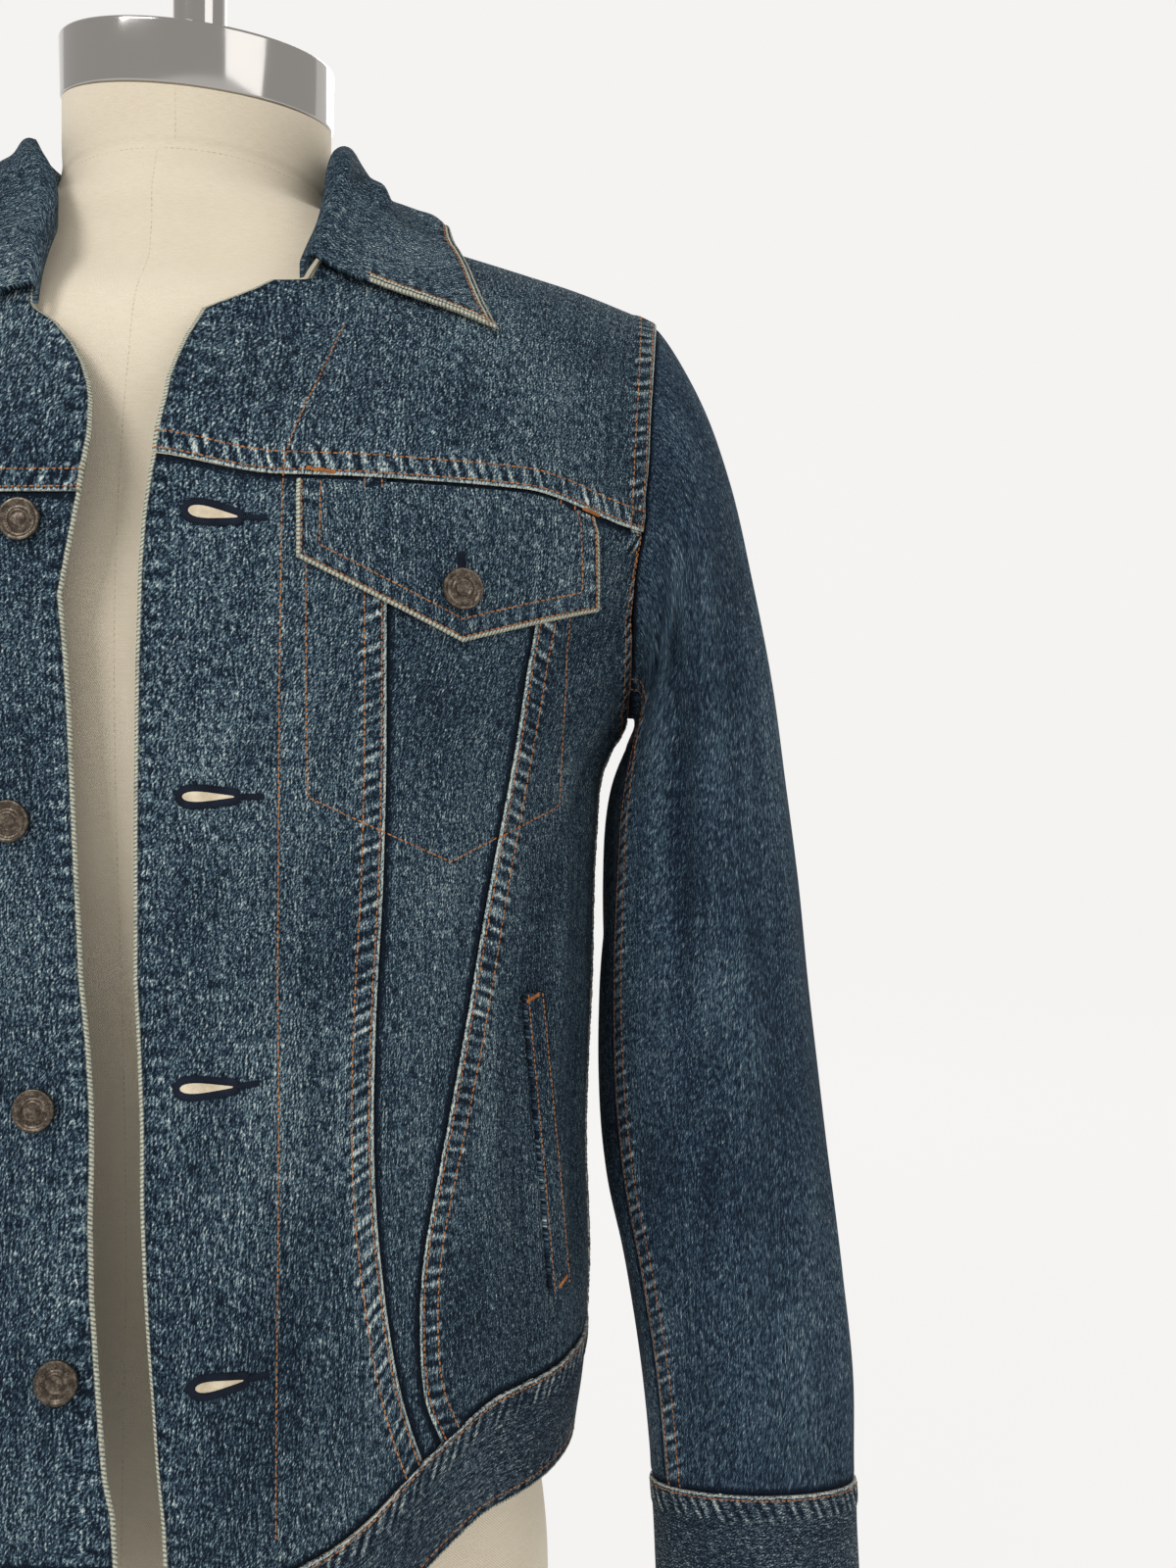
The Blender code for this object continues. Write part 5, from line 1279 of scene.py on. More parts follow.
FLAP_INNER_X, FLAP_INNER_Z = 0.0765, 0.6090
FLAP_POINT_X, FLAP_POINT_Z = 0.1400, 0.5780
FLAP_OUTER_X, FLAP_OUTER_Z = 0.1950, 0.5957
FLAP_TOP_LEVEL = 0.6405
FLAP_THICKNESS = 0.0024
FLAP_TUCK = 0.007            # how far down the flap lies pressed under the yoke's strip

for side in ("left", "right"):
    right = side == "right"
    half = lines(0.062, 0.0024, 0.0013, 0.010)
    columns = np.concatenate([half / 2, 0.5 + half[1:] / 2])
    rows = lines(0.052, 0.0024, 0.0013, 0.010)[:, None]
    low_x = np.interp(columns, [0.0, 0.5, 1.0], [FLAP_INNER_X, FLAP_POINT_X, FLAP_OUTER_X])
    low_z = np.interp(columns, [0.0, 0.5, 1.0], [FLAP_INNER_Z, FLAP_POINT_Z, FLAP_OUTER_Z])
    top_turn = turn_at(np.interp(columns, [0.0, 1.0], [FLAP_INNER_X, FLAP_OUTER_X]), FLAP_TOP_LEVEL)
    low_turn, low_level = find_on_trunk(-low_x if right else low_x, low_z)
    low_turn = np.abs(low_turn)
    turn = top_turn + (low_turn - top_turn) * (1 - rows)
    level = FLAP_TOP_LEVEL + (low_level - FLAP_TOP_LEVEL) * (1 - rows)
    real_turn = TURN - turn if right else turn
    normals = trunk_normal(real_turn, level)
    base = trunk(real_turn, level)
    off_top = run_along(base, 0)[-1:] - run_along(base, 0)
    lift = 0.0004 + (LAY_GAP + FLAP_THICKNESS - 0.0004) * ease(0.0, FLAP_TUCK, off_top)
    panels["pocket_flap_" + side] = cut(
        "jacket_pocket_flap_" + side, base + lift[..., None] * normals, normals,
        worked("low fold", "left fold", "right fold"),
        [BODY_DENIM, PALE_INSIDE], ["pocket_flap_" + side], 0.0, right,
        thickness=FLAP_THICKNESS, rests_on="pocket_panel_" + side)

WELT_HIGH_X, WELT_HIGH_Z = 0.1670, 0.4310
WELT_LOW_X, WELT_LOW_Z = 0.1780, 0.2980
WELT_WIDTH = 0.008
for side in ("left", "right"):
    right = side == "right"
    up = lines(0.134, 0.0024, 0.0014, 0.006)[:, None]
    over = lines(WELT_WIDTH, 0.0012, 0.0010, 0.003)[None, :] - 0.5
    x = WELT_LOW_X + (WELT_HIGH_X - WELT_LOW_X) * up + WELT_WIDTH * over
    z = WELT_LOW_Z + (WELT_HIGH_Z - WELT_LOW_Z) * up + 0 * over
    turn, level = find_on_trunk(x, z)
    real_turn = TURN - turn if right else turn
    normals = trunk_normal(real_turn, level)
    base = trunk(real_turn, level) + (LAY_GAP + FLAP_THICKNESS) * normals
    panels["pocket_welt_" + side] = cut(
        "jacket_pocket_welt_" + side, base, normals,
        (), [SHADED_SIDE_DENIM, PALE_INSIDE],
        ["pocket_welt_" + side], 0.0, right, thickness=FLAP_THICKNESS,
        rests_on="side_panel_" + side)

# ---------------------------------------------------------------- the collar
# Two layers of denim cut as one fall with its stand, turned out and stitched round the
# edge. It stands up round the neck, rolls over and lies open on the fronts.

CollarRow = namedtuple("CollarRow", "k heading inset stand fall_slope edge_x edge_roll lift")
COLLAR = table(
    CollarRow,
    (0, 0, 3.2, 11, 32, 154, 32.5, 1.5), (1, 0, 3.2, 16, 43, 147, 39.8, 2),
    (2, 2, 3.2, 23, 53, 139, 51, 3), (3, 6, 3.2, 27.5, 60, 126, 69, 4),
    (4, 14, 3.6, 30.5, 66, 114, 90, 4), (5, 32, 4.4, 33.5, 70, 100, 107, 4),
    (6, 52, 4.6, 36, 74, 76, 122, 3), (7, 72, 4.7, 37.5, 75, 42, 132, 2),
    (8, 90, 4.7, 38, 75, 0, 135.5, 1.5),
    plain="k heading fall_slope edge_roll",
)
COLLAR_RIGHT = table(
    CollarRow,
    (0, 0, 3.2, 9, 12, 108, 27, 1.5), (1, -4, 3.8, 12, 32, 107, 35, 2),
    (2, -10, 4.4, 16, 48, 107, 47, 3), (3, -2, 3.6, 22.5, 58, 110, 68, 4),
    plain="k heading fall_slope edge_roll",
) + COLLAR[4:]
COLLAR_SINK, COLLAR_FORWARD = 0.0020, 0.0030
FOLD_RADIUS = 0.0046
STAND_SHARE, FOLD_SHARE = 0.20, 0.36


def clear_of_front(point, height):
    """Move a point forward until it is this far off the front of the trunk."""
    place = find_on_trunk(point[0], point[2])
    normal = trunk_normal(*place)
    off = float((point - trunk(*place)) @ normal)
    if point[1] > -0.02 or off >= height:
        return point
    return point + (height - off) * normal


def collar_profile(k, shares):
    """The collar's shown face at place k: up the stand, over the fold, down the fall."""
    half = min(k, 16.0 - k)
    sense, rows, neck = (1, COLLAR, NECKLINE) if k <= 8 else (-1, COLLAR_RIGHT, NECKLINE_RIGHT)
    read = {name: float(along_table(rows, "k", name, half)) for name in CollarRow._fields}
    mirror = np.array([sense, 1.0, 1.0])
    place = neck_place(np.array(half), neck)
    forward = COLLAR_FORWARD * (1.0 - float(ease(0.3, 2.0, half)))
    base = on_side(sense, trunk, place) + forward * on_side(sense, trunk_normal, place)
    heading = math.radians(read["heading"])
    out = np.array([math.cos(heading), math.sin(heading), 0.0])
    up = np.array([0.0, 0.0, 1.0])
    foot = base - read["inset"] * out - COLLAR_SINK * up
    stand_top = foot + (read["stand"] - FOLD_RADIUS) * up
    centre = stand_top + FOLD_RADIUS * out
    stop = math.radians(90.0 - read["fall_slope"])
    fall_start = centre + FOLD_RADIUS * (math.cos(stop) * out + math.sin(stop) * up)
    slope = math.radians(read["fall_slope"])
    heading_down = math.cos(slope) * out - math.sin(slope) * up
    edge_place = over_shoulder(read["edge_x"], read["edge_roll"])
    edge_normal = on_side(sense, trunk_normal, edge_place)
    edge = on_side(sense, trunk, edge_place) + (DOUBLE_WALL + read["lift"]) * edge_normal
    reach = edge - fall_start
    length = np.linalg.norm(reach)
    lying = reach - edge_normal * float(reach @ edge_normal)
    lying = lying / np.linalg.norm(lying)
    first = fall_start + heading_down * length * 0.36
    second = edge - lying * length * 0.36
    points = []
    for q in shares:
        if q <= STAND_SHARE:
            point = foot + (stand_top - foot) * (q / STAND_SHARE)
        elif q <= FOLD_SHARE:
            turn = math.pi + (stop - math.pi) * (q - STAND_SHARE) / (FOLD_SHARE - STAND_SHARE)
            point = centre + FOLD_RADIUS * (math.cos(turn) * out + math.sin(turn) * up)
            point = clear_of_front(point * mirror, DOUBLE_WALL + read["lift"]) * mirror
        else:
            t = (q - FOLD_SHARE) / (1.0 - FOLD_SHARE)
            point = ((1 - t) ** 3 * fall_start + 3 * t * (1 - t) ** 2 * first
                     + 3 * t * t * (1 - t) * second + t ** 3 * edge)
            point = clear_of_front(point * mirror, DOUBLE_WALL + read["lift"]) * mirror
        points.append(point * mirror)
    return np.array(points)


COLLAR_SHARES = np.array([0.0, 0.05, 0.10, 0.15, 0.20, 0.23, 0.26, 0.30, 0.33, 0.36, 0.42, 0.50,
                          0.58, 0.66, 0.74, 0.82, 0.91, 1.0])
collar_places = np.concatenate([np.linspace(0, 8, 19), 16 - np.linspace(0, 8, 19)[-2::-1]])
profiles = np.array([collar_profile(k, COLLAR_SHARES) for k in collar_places])
round_lines = curve_through(np.linspace(0.0, 1.0, len(collar_places)), collar_places,
                            lines(0.46, 0.0030, 0.0013, 0.012))
fall_shares = lines(0.115, 0.0022, 0.0013)
collar_points = curve_through(collar_places, profiles, round_lines)
collar_points = curve_through(COLLAR_SHARES, collar_points.transpose(1, 0, 2), fall_shares)


def sheet_normals(points):
    """Normals of a grid of points, from its neighbours."""
    across = np.cross(np.gradient(points, axis=1), np.gradient(points, axis=0))
    return across / np.linalg.norm(across, axis=-1, keepdims=True)


COLLAR_CREASES = table(
    Crease,
    (30, 80, 30, 5, 0.7, 60, 2), (60, 70, 40, 6, -0.8, 75, 3), (95, 60, 30, 6, 0.7, 100, 3),
    (140, 75, 35, 7, -0.8, 90, 3), (230, 70, 50, 8, 0.8, 85, 2), (310, 65, 40, 7, -0.8, 95, 3),
    (400, 75, 35, 6, 0.8, 110, 3),
    plain="lean",
)
COLLAR_DENIM = denim_finish("denim_collar", BODY_INDIGO, cords=2)
# the grid runs from the left front corner round to the right, so its own normals face inward
collar_normals = -sheet_normals(collar_points)
collar_round = run_along(collar_points, 1)
collar_up = run_along(collar_points, 0)
panels["collar"] = cut(
    "jacket_collar", collar_points, collar_normals,
    worked("top fold", "left fold 0.40 1", "right fold 0.40 1"),
    [COLLAR_DENIM, COLLAR_DENIM], ["collar"],
    crease_height(COLLAR_CREASES, collar_round, collar_up), mirrored=True,
    thickness=DOUBLE_WALL, rests_on=["front_yoke_left", "back_yoke"])

# ---------------------------------------------------------------- the sleeves
# Two-piece sleeves: a wide outer piece and an under piece, felled together at the front of
# the arm and behind, set into the armhole under the body's edge.

SleeveRing = namedtuple(
    "SleeveRing", "along outer_x outer_z inner_x inner_z centre_y half_depth pitch")
SLEEVE = table(
    SleeveRing,
    (0, 224.6, 745, 210.5, 555.5, 0, 72, 0), (0.035, 235, 729, 214.2, 556.2, 0, 76.5, 0),
    (0.075, 247, 706, 215, 553.5, 0, 79, 0), (0.14, 260.5, 668, 214, 548, 1, 79, 0.02),
    (0.22, 271.5, 622, 209.5, 537, 3, 78, 0.03), (0.3, 281.8, 572, 205, 522, 5, 76, 0.03),
    (0.38, 289, 524, 201.8, 500, 8, 73, 0.02), (0.46, 295.7, 476, 200, 468, 10, 70, 0),
    (0.54, 301, 428, 197.8, 428, 12, 66, 0.02), (0.63, 306.7, 380, 197.8, 380, 12, 62, 0.06),
    (0.72, 312, 332, 202.1, 332, 9, 56, 0.12), (0.81, 316.8, 284, 211.2, 284, 4, 50, 0.18),
    (0.91, 320.6, 236, 218.5, 236, -3, 45, 0.22), (1, 320, 190, 222.8, 190, -9, 41, 0.24),
    (1.1, 321, 140, 225, 140, -17, 39, 0.24),
    plain="along pitch",
)


def armhole(around):
    """(turn, level) of the left armhole at this angle round the sleeve."""
    around = np.mod(np.asarray(around, float), TURN)
    back = around > math.pi
    angle = np.where(back, TURN - around, around)
    upper = angle <= QUARTER
    level_up = YOKE_Z + (QUARTER - np.minimum(angle, QUARTER)) / QUARTER * CAP_LENGTH
    t = np.clip((angle - QUARTER) / QUARTER, 0.0, 1.0)
    turn_low_front, level_low = armhole_lower(t)
    turn_low_back, _ = armhole_lower(t, back=True)
    turn_front = np.where(upper, ARM_FRONT, turn_low_front)
    turn_back = np.where(upper, ARM_BACK, turn_low_back)
    return np.where(back, turn_back, turn_front), np.where(upper, level_up, level_low)


def sleeve_oval(around, along):
    """The plain tube through the sleeve's rings."""
    read = {name: along_table(SLEEVE, "along", name, along) for name in SleeveRing._fields}
    c, s = np.cos(around), np.sin(around)
    x = (read["outer_x"] + read["inner_x"]) / 2 + (read["outer_x"] - read["inner_x"]) / 2 * c
    z = (read["outer_z"] + read["inner_z"]) / 2 + (read["outer_z"] - read["inner_z"]) / 2 * c
    forward = read["half_depth"] * s
    return np.stack([x, read["centre_y"] - forward, z + forward * read["pitch"]], axis=-1)


def sleeve_fold(around, along):
    """The long fold that falls from the front of the armhole, and a softer one behind."""
    front = hump(0.22, around - 1.95) * ease(0.06, 0.20, along) * (1.0 - ease(0.40, 0.62, along))
    behind = hump(0.25, around - 4.35) * ease(0.06, 0.20, along) * (1.0 - ease(0.35, 0.60, along))
    return 0.0075 * front + 0.0055 * behind


def sleeve(around, along):
    """Point on the outer face of the left sleeve; it starts on the armhole itself."""
    around, along = np.broadcast_arrays(np.asarray(around, float), np.asarray(along, float))
    oval = sleeve_oval(around, along)
    start = trunk(*armhole(around)) - sleeve_oval(around, np.zeros_like(along))
    fade = 1.0 - ease(0.0, 0.16, along)
    centre = (sleeve_oval(around, along) + sleeve_oval(around + math.pi, along)) / 2
    inward = centre - oval
    inward = inward / np.linalg.norm(inward, axis=-1, keepdims=True)
    fold = sleeve_fold(np.mod(around, TURN), along)
    return oval + start * fade[..., None] + inward * fold[..., None]


def sleeve_normal(around, along):
    return facing_out(sleeve, np.asarray(around, float), np.maximum(along, 2 * STEP))


SLEEVE_LENGTH = 0.585        # down the top of the arm, armhole to cuff
ARM_RADIUS = 0.060
SLEEVE_CELL = 0.0036
SLEEVE_INDIGO = Indigo(tone(16, 25, 37), tone(34, 50, 66), tone(58, 79, 96), tone(104, 126, 137),
                       tone(190, 196, 190))
SLEEVE_DENIM = denim_finish("denim_sleeve", SLEEVE_INDIGO, streaks=0.95, fade=-0.04)
CUFF_DENIM = denim_finish("denim_cuff", BAND_INDIGO, streaks=0.9)
# u is the length round from the top of the arm, v the length down it
SLEEVE_CREASES = table(
    Crease,
    (60, 60, 50, 8, -1.2, 70, 6), (85, 110, 70, 9, 1.6, 78, 6), (118, 75, 40, 6, 2.2, 62, 6),
    (130, 60, 35, 5.5, -2.2, 50, 5), (105, 180, 90, 10, -1.8, 84, 8),
    (40, 200, 120, 12, 1.4, 88, 6), (20, 110, 70, 11, -1, 92, 4), (70, 280, 110, 11, -1.6, 96, 8),
    (95, 320, 60, 9, 0.8, 70, 6), (110, 370, 50, 8, -1.6, 60, 6), (50, 400, 80, 11, 0.9, 82, 6),
    (20, 340, 100, 12, -1.2, 94, 6), (75, 460, 60, 9, -1.4, 75, 5), (30, 500, 60, 9, 1.2, 86, 4),
    (-30, 150, 90, 12, 1.4, 90, 6), (-60, 250, 100, 12, -1.6, 96, 6),
    (-90, 180, 70, 11, 1.6, 104, 8), (-40, 360, 70, 10, 1.4, 110, 6),
    (-75, 420, 60, 9, -1.4, 112, 6), (-20, 460, 70, 10, -1.2, 92, 6),
    (170, 100, 60, 8, -2, 95, 6), (190, 200, 80, 10, 1.8, 88, 6), (200, 320, 60, 9, -1.6, 70, 6),
    (180, 420, 60, 9, 1.4, 100, 5), (215, 120, 50, 8, 1.8, 80, 6), (150, 280, 70, 9, 1.4, 92, 6),
    # the long fold down the front of the arm
    (115, 230, 150, 4.8, -3, 91, 3), (126, 235, 150, 7, 1, 91, 3), (104, 420, 60, 5, -2, 80, 3),
    plain="lean",
)
FRONT_SEAM_AROUND, BACK_SEAM_AROUND = math.radians(150.0), math.radians(255.0)


def both_sides(make):
    """The left piece, and its mirror on the right."""
    for side in ("left", "right"):
        make(side, side == "right")


def sleeve_piece(part, start, end, edges, width):
    across = start + (end - start) * lines(width, SLEEVE_CELL)
    down = lines(SLEEVE_LENGTH, SLEEVE_CELL * 1.2)
    around, along = np.meshgrid(across, down)
    points, normals = sleeve(around, along), sleeve_normal(around, along)
    swing = np.mod(around + math.pi * 0.6, TURN) - math.pi * 0.6
    relief = crease_height(SLEEVE_CREASES, swing * ARM_RADIUS, along * SLEEVE_LENGTH)
    relief = relief * ease(0.0, 0.05, along) * (1.0 - ease(0.93, 1.0, along))
    # the cap eases into the armhole from just under the body's strip
    relief = relief - 0.0004 * (1.0 - ease(0.0, 0.02, along))
    flip = np.array([-1.0, 1.0, 1.0])

    def make(side, right):
        sense = flip if right else 1.0
        panels[f"{part}_{side}"] = cut(
            f"jacket_{part}_{side}", points * sense, normals * sense, edges,
            [SLEEVE_DENIM, PALE_INSIDE], [f"{part}_{side}"], relief, right)

    both_sides(make)


sleeve_piece("sleeve_outer", BACK_SEAM_AROUND - TURN, FRONT_SEAM_AROUND,
             worked("low under", "top under", "right over", "left over"), 0.27)
sleeve_piece("sleeve_under", FRONT_SEAM_AROUND, BACK_SEAM_AROUND,
             worked("low under", "top under", "left under", "right under"), 0.12)

# A straight doubled cuff, its warp running round the wrist; its ends meet behind.
CUFF_SLIT = 0.0006 / 0.045
CUFF_START = BACK_SEAM_AROUND + CUFF_SLIT
CUFF_END = BACK_SEAM_AROUND + TURN - CUFF_SLIT
across = CUFF_START + (CUFF_END - CUFF_START) * lines(0.24, 0.0030, 0.0013, 0.008)
around, along = np.meshgrid(across, 1.0 + 0.1 * lines(0.051, 0.0024, 0.0012, 0.008))
cuff_normals = sleeve_normal(around, along)
cuff_points = sleeve(around, along) + BAND_LIFT * cuff_normals


def make_cuff(side, right):
    sense = np.array([-1.0, 1.0, 1.0]) if right else 1.0
    panels["cuff_" + side] = cut(
        "jacket_cuff_" + side, cuff_points * sense, cuff_normals * sense,
        worked("low over", "top fold", "left fold", "right fold"),
        [CUFF_DENIM, PALE_INSIDE], ["cuff_" + side], 0.0, right,
        grain="cross", thickness=DOUBLE_WALL, rests_on=["sleeve_outer_" + side])


both_sides(make_cuff)

# ---------------------------------------------------------------- the seams' stitches
# Two rows of tan thread on each felled seam, 2 mm and 9 mm in from its edge, and one row
# round the collar, the waistband and the cuffs.

FIRST_ROW, SECOND_ROW = 0.0019, 0.0088


def beside(panel, side, off, first=0.0, last=1.0):
    """The path on a panel at this distance from one of its sides, over a share of its run."""
    reach, run = panel.reach[side], panel.run[side]
    if side in ("low", "top"):
        reach, run, points = reach.T, run.T, panel.points.transpose(1, 0, 2)
    else:
        points = panel.points
    path = []
    for distance, place, line in zip(reach, run, points):
        order = np.argsort(distance)
        share = place[0] / max(run.max(), 1e-6)
        if first <= share <= last and distance.max() > off:
            path.append([np.interp(off, distance[order], line[order, axis]) for axis in range(3)])
    return np.array(path)


sewn = {"front": [], "back": [], "sleeves": [], "trim": []}


def sew_rows(group, panel, side, offs=(FIRST_ROW, SECOND_ROW), first=0.0, last=1.0):
    for off in offs:
        path = beside(panels[panel], side, off, first, last)
        if len(path) > 1:
            sewn[group] += stitches(path, [panels[panel].tree])


for side in ("left", "right"):
    sew_rows("front", "front_panel_" + side, "right")
    sew_rows("front", "side_panel_" + side, "left")
    sew_rows("front", "side_panel_" + side, "top", first=0.25)
    sew_rows("front", "front_yoke_" + side, "low")
    sew_rows("front", "front_yoke_" + side, "right")
    sew_rows("back", "back_side_" + side, "left")
    sew_rows("back", "back_side_" + side, "right")
    sew_rows("back", "back_side_" + side, "top", last=0.66)
    sew_rows("sleeves", "sleeve_outer_" + side, "right")
    sew_rows("sleeves", "sleeve_outer_" + side, "left")
    sew_rows("trim", "cuff_" + side, "low", (FIRST_ROW,))
    sew_rows("trim", "cuff_" + side, "top", (0.0055,))
sew_rows("back", "back_yoke", "low")
sew_rows("back", "back_yoke", "left")
sew_rows("back", "back_yoke", "right")
sew_rows("back", "back_yoke", "top", last=0.31)
sew_rows("back", "back_yoke", "top", first=0.69)
sew_rows("trim", "waistband", "top", (FIRST_ROW,))
sew_rows("trim", "waistband", "low", (0.0050,))
sew_rows("trim", "collar", "top", (0.0050,))
sew_rows("trim", "collar", "left", (0.0045,), first=0.36)
sew_rows("trim", "collar", "right", (0.0045,), first=0.36)

# Rows placed by height and distance on the fronts: the facing's edge, the pocket bag.
PLACKET = table(
    EdgePoint,
    (71.2, 226), (70.6, 289.3), (68.5, 441.5), (69.6, 558.3), (71, 635.7), (71.8, 647.4),
    (76.4, 665.4), (81.1, 683), (86.6, 706.8), (89.7, 716.7),
)
POCKET_BAG = table(
    EdgePoint,
    (80, 615), (80, 514.3), (135.6, 488), (179, 511.5), (185, 600),
)


def on_fronts(rows, right):
    """A path through (x, z) points on the front, every 3 mm."""
    xs, zs = np.array([row.x for row in rows]), np.array([row.z for row in rows])
    reach = np.concatenate([[0.0], np.cumsum(np.hypot(np.diff(xs), np.diff(zs)))])
    at = np.arange(0.0, reach[-1], 0.003)
    sense = -1.0 if right else 1.0
    return trunk(*find_on_trunk(sense * np.interp(at, reach, xs), np.interp(at, reach, zs)))


for side in ("left", "right"):
    trees = [panels[part + side].tree for part in
             ("front_panel_", "pocket_panel_", "side_panel_", "front_yoke_")]
    for rows in (PLACKET, POCKET_BAG):
        sewn["front"] += stitches(on_fronts(rows, side == "right"), trees)

    flap = panels["pocket_flap_" + side]
    for off in (0.0022, 0.0095):
        for part in ("left", "low", "right"):
            path = beside(flap, part, off)
            others = [flap.reach[other] for other in ("left", "low", "right") if other != part]
            keep = []
            for point in path:
                nearest = np.argmin(np.linalg.norm(flap.points - point, axis=-1))
                spot = np.unravel_index(nearest, flap.reach["left"].shape)
                keep.append(all(other[spot] > off - 0.0004 for other in others))
            path = path[np.array(keep)]
            if len(path) > 1:
                sewn["front"] += stitches(path, [flap.tree])
    welt = panels["pocket_welt_" + side]
    for part in ("left", "right"):
        sewn["front"] += stitches(beside(welt, part, 0.0018), [welt.tree])

# Bartacks: close stitches across a short bar, where a pocket or seam takes the strain.
Bartack = namedtuple("Bartack", "part x z length lean")
BARTACKS = table(
    Bartack,
    ("front_yoke_", 86, 644, 11, -6), ("front_yoke_", 190.5, 627, 9, -10),
    ("pocket_welt_", 166, 429, 8, 12), ("pocket_welt_", 178.3, 301, 8, 12),
    plain="part lean",
)
TACK_PITCH, TACK_DEPTH, BARTACK_THREAD = 0.00055, 0.0019, 0.0007


def bartack(tack, right):
    turn, level = find_on_trunk(-tack.x if right else tack.x, tack.z)
    centre, up = Vector(trunk(turn, level)), Vector(trunk_normal(turn, level))
    sense = -1.0 if right else 1.0
    lean = math.radians(tack.lean)
    along = Vector((sense * math.cos(lean), 0.0, math.sin(lean)))
    along = (along - up * along.dot(up)).normalized()
    across = up.cross(along)
    tree = panels[tack.part + ("right" if right else "left")].tree
    laid = []
    count = int(tack.length / TACK_PITCH)
    for index in range(count):
        spot = centre + along * ((index + 0.5) / count - 0.5) * tack.length
        found = tree.find_nearest(spot + up * 0.004)
        way = (across + along * 0.25).normalized()
        laid.append(lay(found, way, TACK_DEPTH, BARTACK_THREAD, 0.0001))
    return laid


for tack in BARTACKS:
    for right in (False, True):
        sewn["front"] += bartack(tack, right)

sew("jacket_thread_front", sewn["front"], TAN_THREAD)
sew("jacket_thread_back", sewn["back"], TAN_THREAD)
sew("jacket_thread_sleeves", sewn["sleeves"], TAN_THREAD)
sew("jacket_thread_trim", sewn["trim"], TAN_THREAD)

# ---------------------------------------------------------------- buttons and buttonholes
# Pressed metal tack buttons with a rolled rim and a plain boss, riveted through the right
# front, the flaps, the cuffs and the waistband. Keyhole buttonholes bound in navy thread.

ButtonPlace = namedtuple("ButtonPlace", "name x z mirrored")
BUTTONS = table(
    ButtonPlace,
    ("button_neck", 67, 700, True), ("button_front_1", 30.8, 623, True),
    ("button_front_2", 35.1, 504.6, True), ("button_front_3", 23.4, 391.7, True),
    ("button_front_4", 9, 291.7, True), ("button_waistband", 3.5, 204, True),
    ("button_flap_left", 139.5, 599, False), ("button_flap_right", 139.5, 599, True),
    plain="name mirrored",
)
BUTTON_PROFILE = (
    (0.0, 0.0), (0.0030, 0.0), (0.0030, 0.0012), (0.0070, 0.0013), (0.0081, 0.0015),
    (0.0085, 0.0020), (0.0085, 0.0026), (0.0082, 0.0031), (0.0076, 0.0033), (0.0070, 0.0031),
    (0.0066, 0.0027), (0.0061, 0.0025), (0.0047, 0.0025), (0.0043, 0.0028), (0.0039, 0.0032),
    (0.0034, 0.0033), (0.0029, 0.0030), (0.0026, 0.0027), (0.0014, 0.0028), (0.0, 0.0029),
)
RIM_DOTS, DOT_CIRCLE, DOT_SIZE = 30, 0.0055, 0.00034


def pewter_finish():
    """Antique pewter over brass, darkened and rubbed bright in scattered spots."""
    metal = Finish("button_pewter", Metallic=0.92)
    spots = metal.noise(metal.place(), scale=420.0, detail=4.0, roughness=0.7)
    rub = metal.noise(metal.place(), scale=1500.0, detail=2.0)
    metal.give("Base Color", metal.ramp(spots * 0.7 + rub * 0.3, (
        (0.30, tone(34, 29, 26)), (0.50, tone(84, 75, 66)), (0.72, tone(150, 138, 122)))))
    metal.give("Roughness", spots * 0.35 + 0.22)
    metal.raise_by(spots, 0.00012, 0.5)
    return metal.material


PEWTER = pewter_finish()


# A keyhole: its wide end by the front edge, its narrow end, and the tack past that. A cream
# patch stands for the form seen through the slit.
Keyhole = namedtuple("Keyhole", "wide_x wide_z end_x end_z tack_x tack_z width")
KEYHOLES = table(
    Keyhole,
    (34.6, 627.3, 54.1, 624.7, 64.5, 624.5, 6.2), (32.2, 514.3, 52.6, 514.3, 63.1, 514.3, 5.2),
    (32.2, 399.8, 52.8, 400.1, 61.9, 401.3, 5.2), (42.1, 288, 59.2, 288.9, 67.6, 289.3, 5),
)
HOLE_BINDING, BINDING_THREAD = 0.0034, 0.0012
TACK_LENGTH, TACK_THREAD = 0.0030, 0.0011
FLAP_HOLE_X, FLAP_HOLE_LOW, FLAP_HOLE_HIGH, FLAP_HOLE_WIDTH = 0.1395, 0.5985, 0.6135, 0.0042
SLIT_LIFT = 0.0005


def hole_outline(hole, share):
    """The slit's edge at these shares of a turn, from the narrow end round the wide one."""
    at = share * TURN
    wide = (1.0 - np.cos(at)) / 2.0
    half = hole.width / 2.0 * np.sin(at) * (0.30 + 0.90 * wide ** 1.4)
    long_x, long_z = hole.wide_x - hole.end_x, hole.wide_z - hole.end_z
    length = math.hypot(long_x, long_z)
    x = hole.end_x + long_x * wide - long_z / length * half
    z = hole.end_z + long_z * wide + long_x / length * half
    return x, z


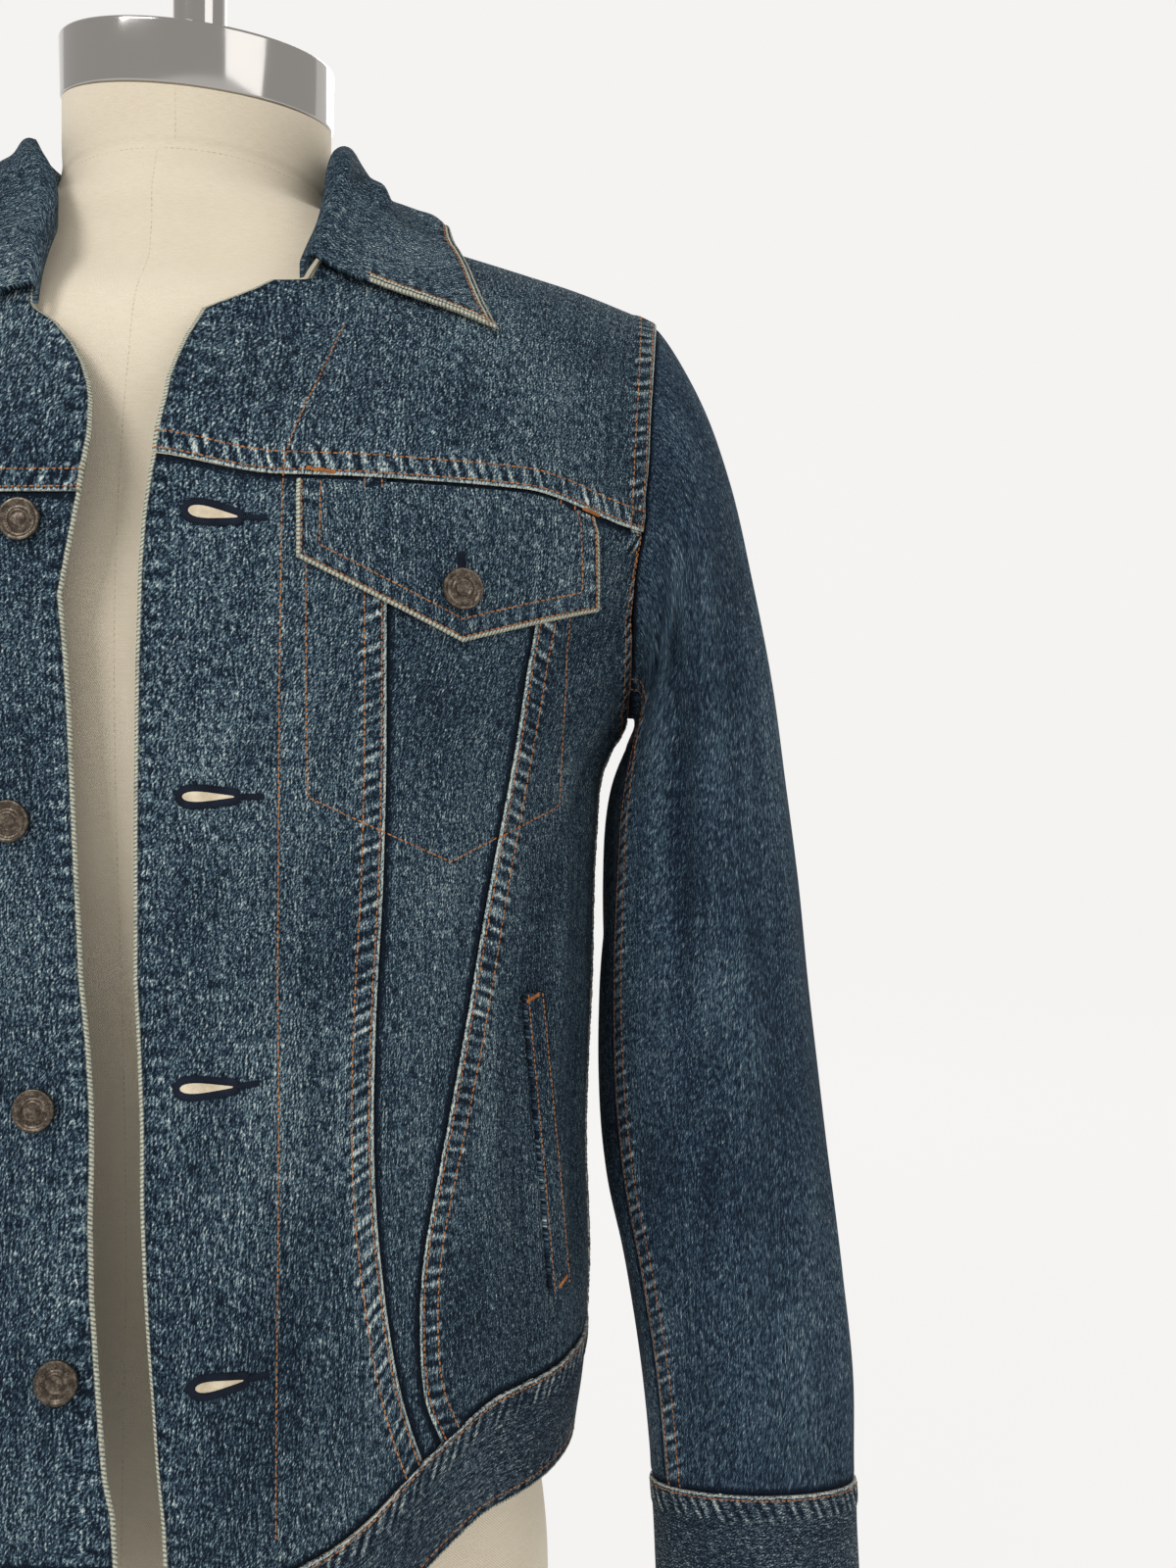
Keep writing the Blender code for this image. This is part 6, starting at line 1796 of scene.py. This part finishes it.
def keyhole(hole, tree):
    """The binding's stitches: straight out all round the slit, then across for the tack."""
    laid = []
    shares = np.linspace(0.0, 1.0, 76)[:-1]
    centre_x, centre_z = (hole.wide_x + hole.end_x) / 2.0, (hole.wide_z + hole.end_z) / 2.0
    edge = trunk(*find_on_trunk(*hole_outline(hole, shares)))
    for index, point in enumerate(edge):
        found = tree.find_nearest(Vector(point))
        tangent = Vector(edge[(index + 1) % len(edge)] - edge[index - 1]).normalized()
        way = tangent.cross(found[1]).normalized()
        centre = Vector((centre_x, point[1], centre_z))
        way = -way if way.dot(Vector(point) - centre) < 0.0 else way
        laid.append(lay(found, way, HOLE_BINDING, BINDING_THREAD, SEAM_GAP, HOLE_BINDING * 0.45))
    for share in np.linspace(0.0, 1.0, 14):
        x = hole.end_x + (hole.tack_x - hole.end_x) * share
        z = hole.end_z + (hole.tack_z - hole.end_z) * share
        found = tree.find_nearest(Vector(trunk(*find_on_trunk(x, z))))
        way = Vector((0.0, 0.0, 1.0))
        way = (way - found[1] * way.dot(found[1])).normalized()
        laid.append(lay(found, way, TACK_LENGTH, TACK_THREAD, SEAM_GAP))
    return laid


holes_sewn = []
for number, hole in enumerate(KEYHOLES, 1):
    tree = panels["front_panel_left"].tree
    holes_sewn += keyhole(hole, tree)
    half_turn = np.linspace(0.0, 0.5, 15)
    upper, lower = (np.stack(hole_outline(hole, shares), axis=-1)
                    for shares in (half_turn, 1.0 - half_turn))
    spots = np.array([lower + (upper - lower) * share for share in (0.0, 0.25, 0.5, 0.75, 1.0)])
    place = find_on_trunk(spots[..., 0], spots[..., 1])
    slit = trunk(*place) + SLIT_LIFT * trunk_normal(*place)
    slit_mesh, _ = grid_mesh(f"buttonhole_slit_{number}", slit)
    slit_mesh.shade_smooth()
    add_piece(f"buttonhole_slit_{number}", slit_mesh, [CREAM_THREAD])
for side in ("left", "right"):
    tree = panels["pocket_flap_" + side].tree
    sense = -1.0 if side == "right" else 1.0
    level_way = Vector((1.0, 0.0, 0.0))
    for z in np.linspace(FLAP_HOLE_LOW, FLAP_HOLE_HIGH, 22):
        found = tree.find_nearest(Vector(trunk(*find_on_trunk(sense * FLAP_HOLE_X, z))))
        holes_sewn.append(lay(found, level_way, FLAP_HOLE_WIDTH, TACK_THREAD, SEAM_GAP))
sew("jacket_buttonholes", holes_sewn, NAVY_THREAD)


def set_button(name, point, normal, lift):
    facing = Vector(normal).to_track_quat("Z", "Y").to_matrix().to_4x4()
    place = Matrix.Translation(Vector(point + lift * normal)) @ facing
    mesh = turned("jacket_" + name, BUTTON_PROFILE, 44, place)
    body = bmesh.new()
    body.from_mesh(mesh)
    for index in range(RIM_DOTS):
        at = TURN * index / RIM_DOTS
        spot = place @ Vector((DOT_CIRCLE * math.cos(at), DOT_CIRCLE * math.sin(at), 0.0025))
        bmesh.ops.create_icosphere(body, subdivisions=1, radius=DOT_SIZE,
                                   matrix=Matrix.Translation(spot))
    body.to_mesh(mesh)
    body.free()
    mesh.shade_smooth()
    mesh.set_sharp_from_angle(angle=math.radians(40.0))
    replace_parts(add_piece("jacket_" + name, mesh, [PEWTER]), name)


for button in BUTTONS:
    place = find_on_trunk(-button.x if button.mirrored else button.x, button.z)
    turn, level = (float(value) for value in place)
    lift = LAY_GAP
    if button.name.startswith("button_flap"):
        lift = 2 * LAY_GAP + FLAP_THICKNESS
    if button.name == "button_waistband":
        lift = LAY_GAP + BAND_LIFT
    point, normal = trunk(turn, level), trunk_normal(turn, level)
    set_button(button.name, point, normal, lift)

around = math.radians(232.0)
high, low = sleeve(around, 1.0), sleeve_oval(around, 1.10)
ahead = sleeve_oval(around + 0.01, 1.10) - sleeve_oval(around - 0.01, 1.10)
normal = np.cross(low - high, ahead)
normal = normal / np.linalg.norm(normal)
centre = sleeve_oval(np.array([around, around + math.pi]), 1.10).mean(axis=0)
normal = -normal if normal @ (low - centre) < 0 else normal
for side, mirror in (("left", 1.0), ("right", -1.0)):
    flip = np.array([mirror, 1.0, 1.0])
    set_button("button_cuff_" + side, (high + low) / 2 * flip, normal * flip, LAY_GAP + SEAM_GAP)
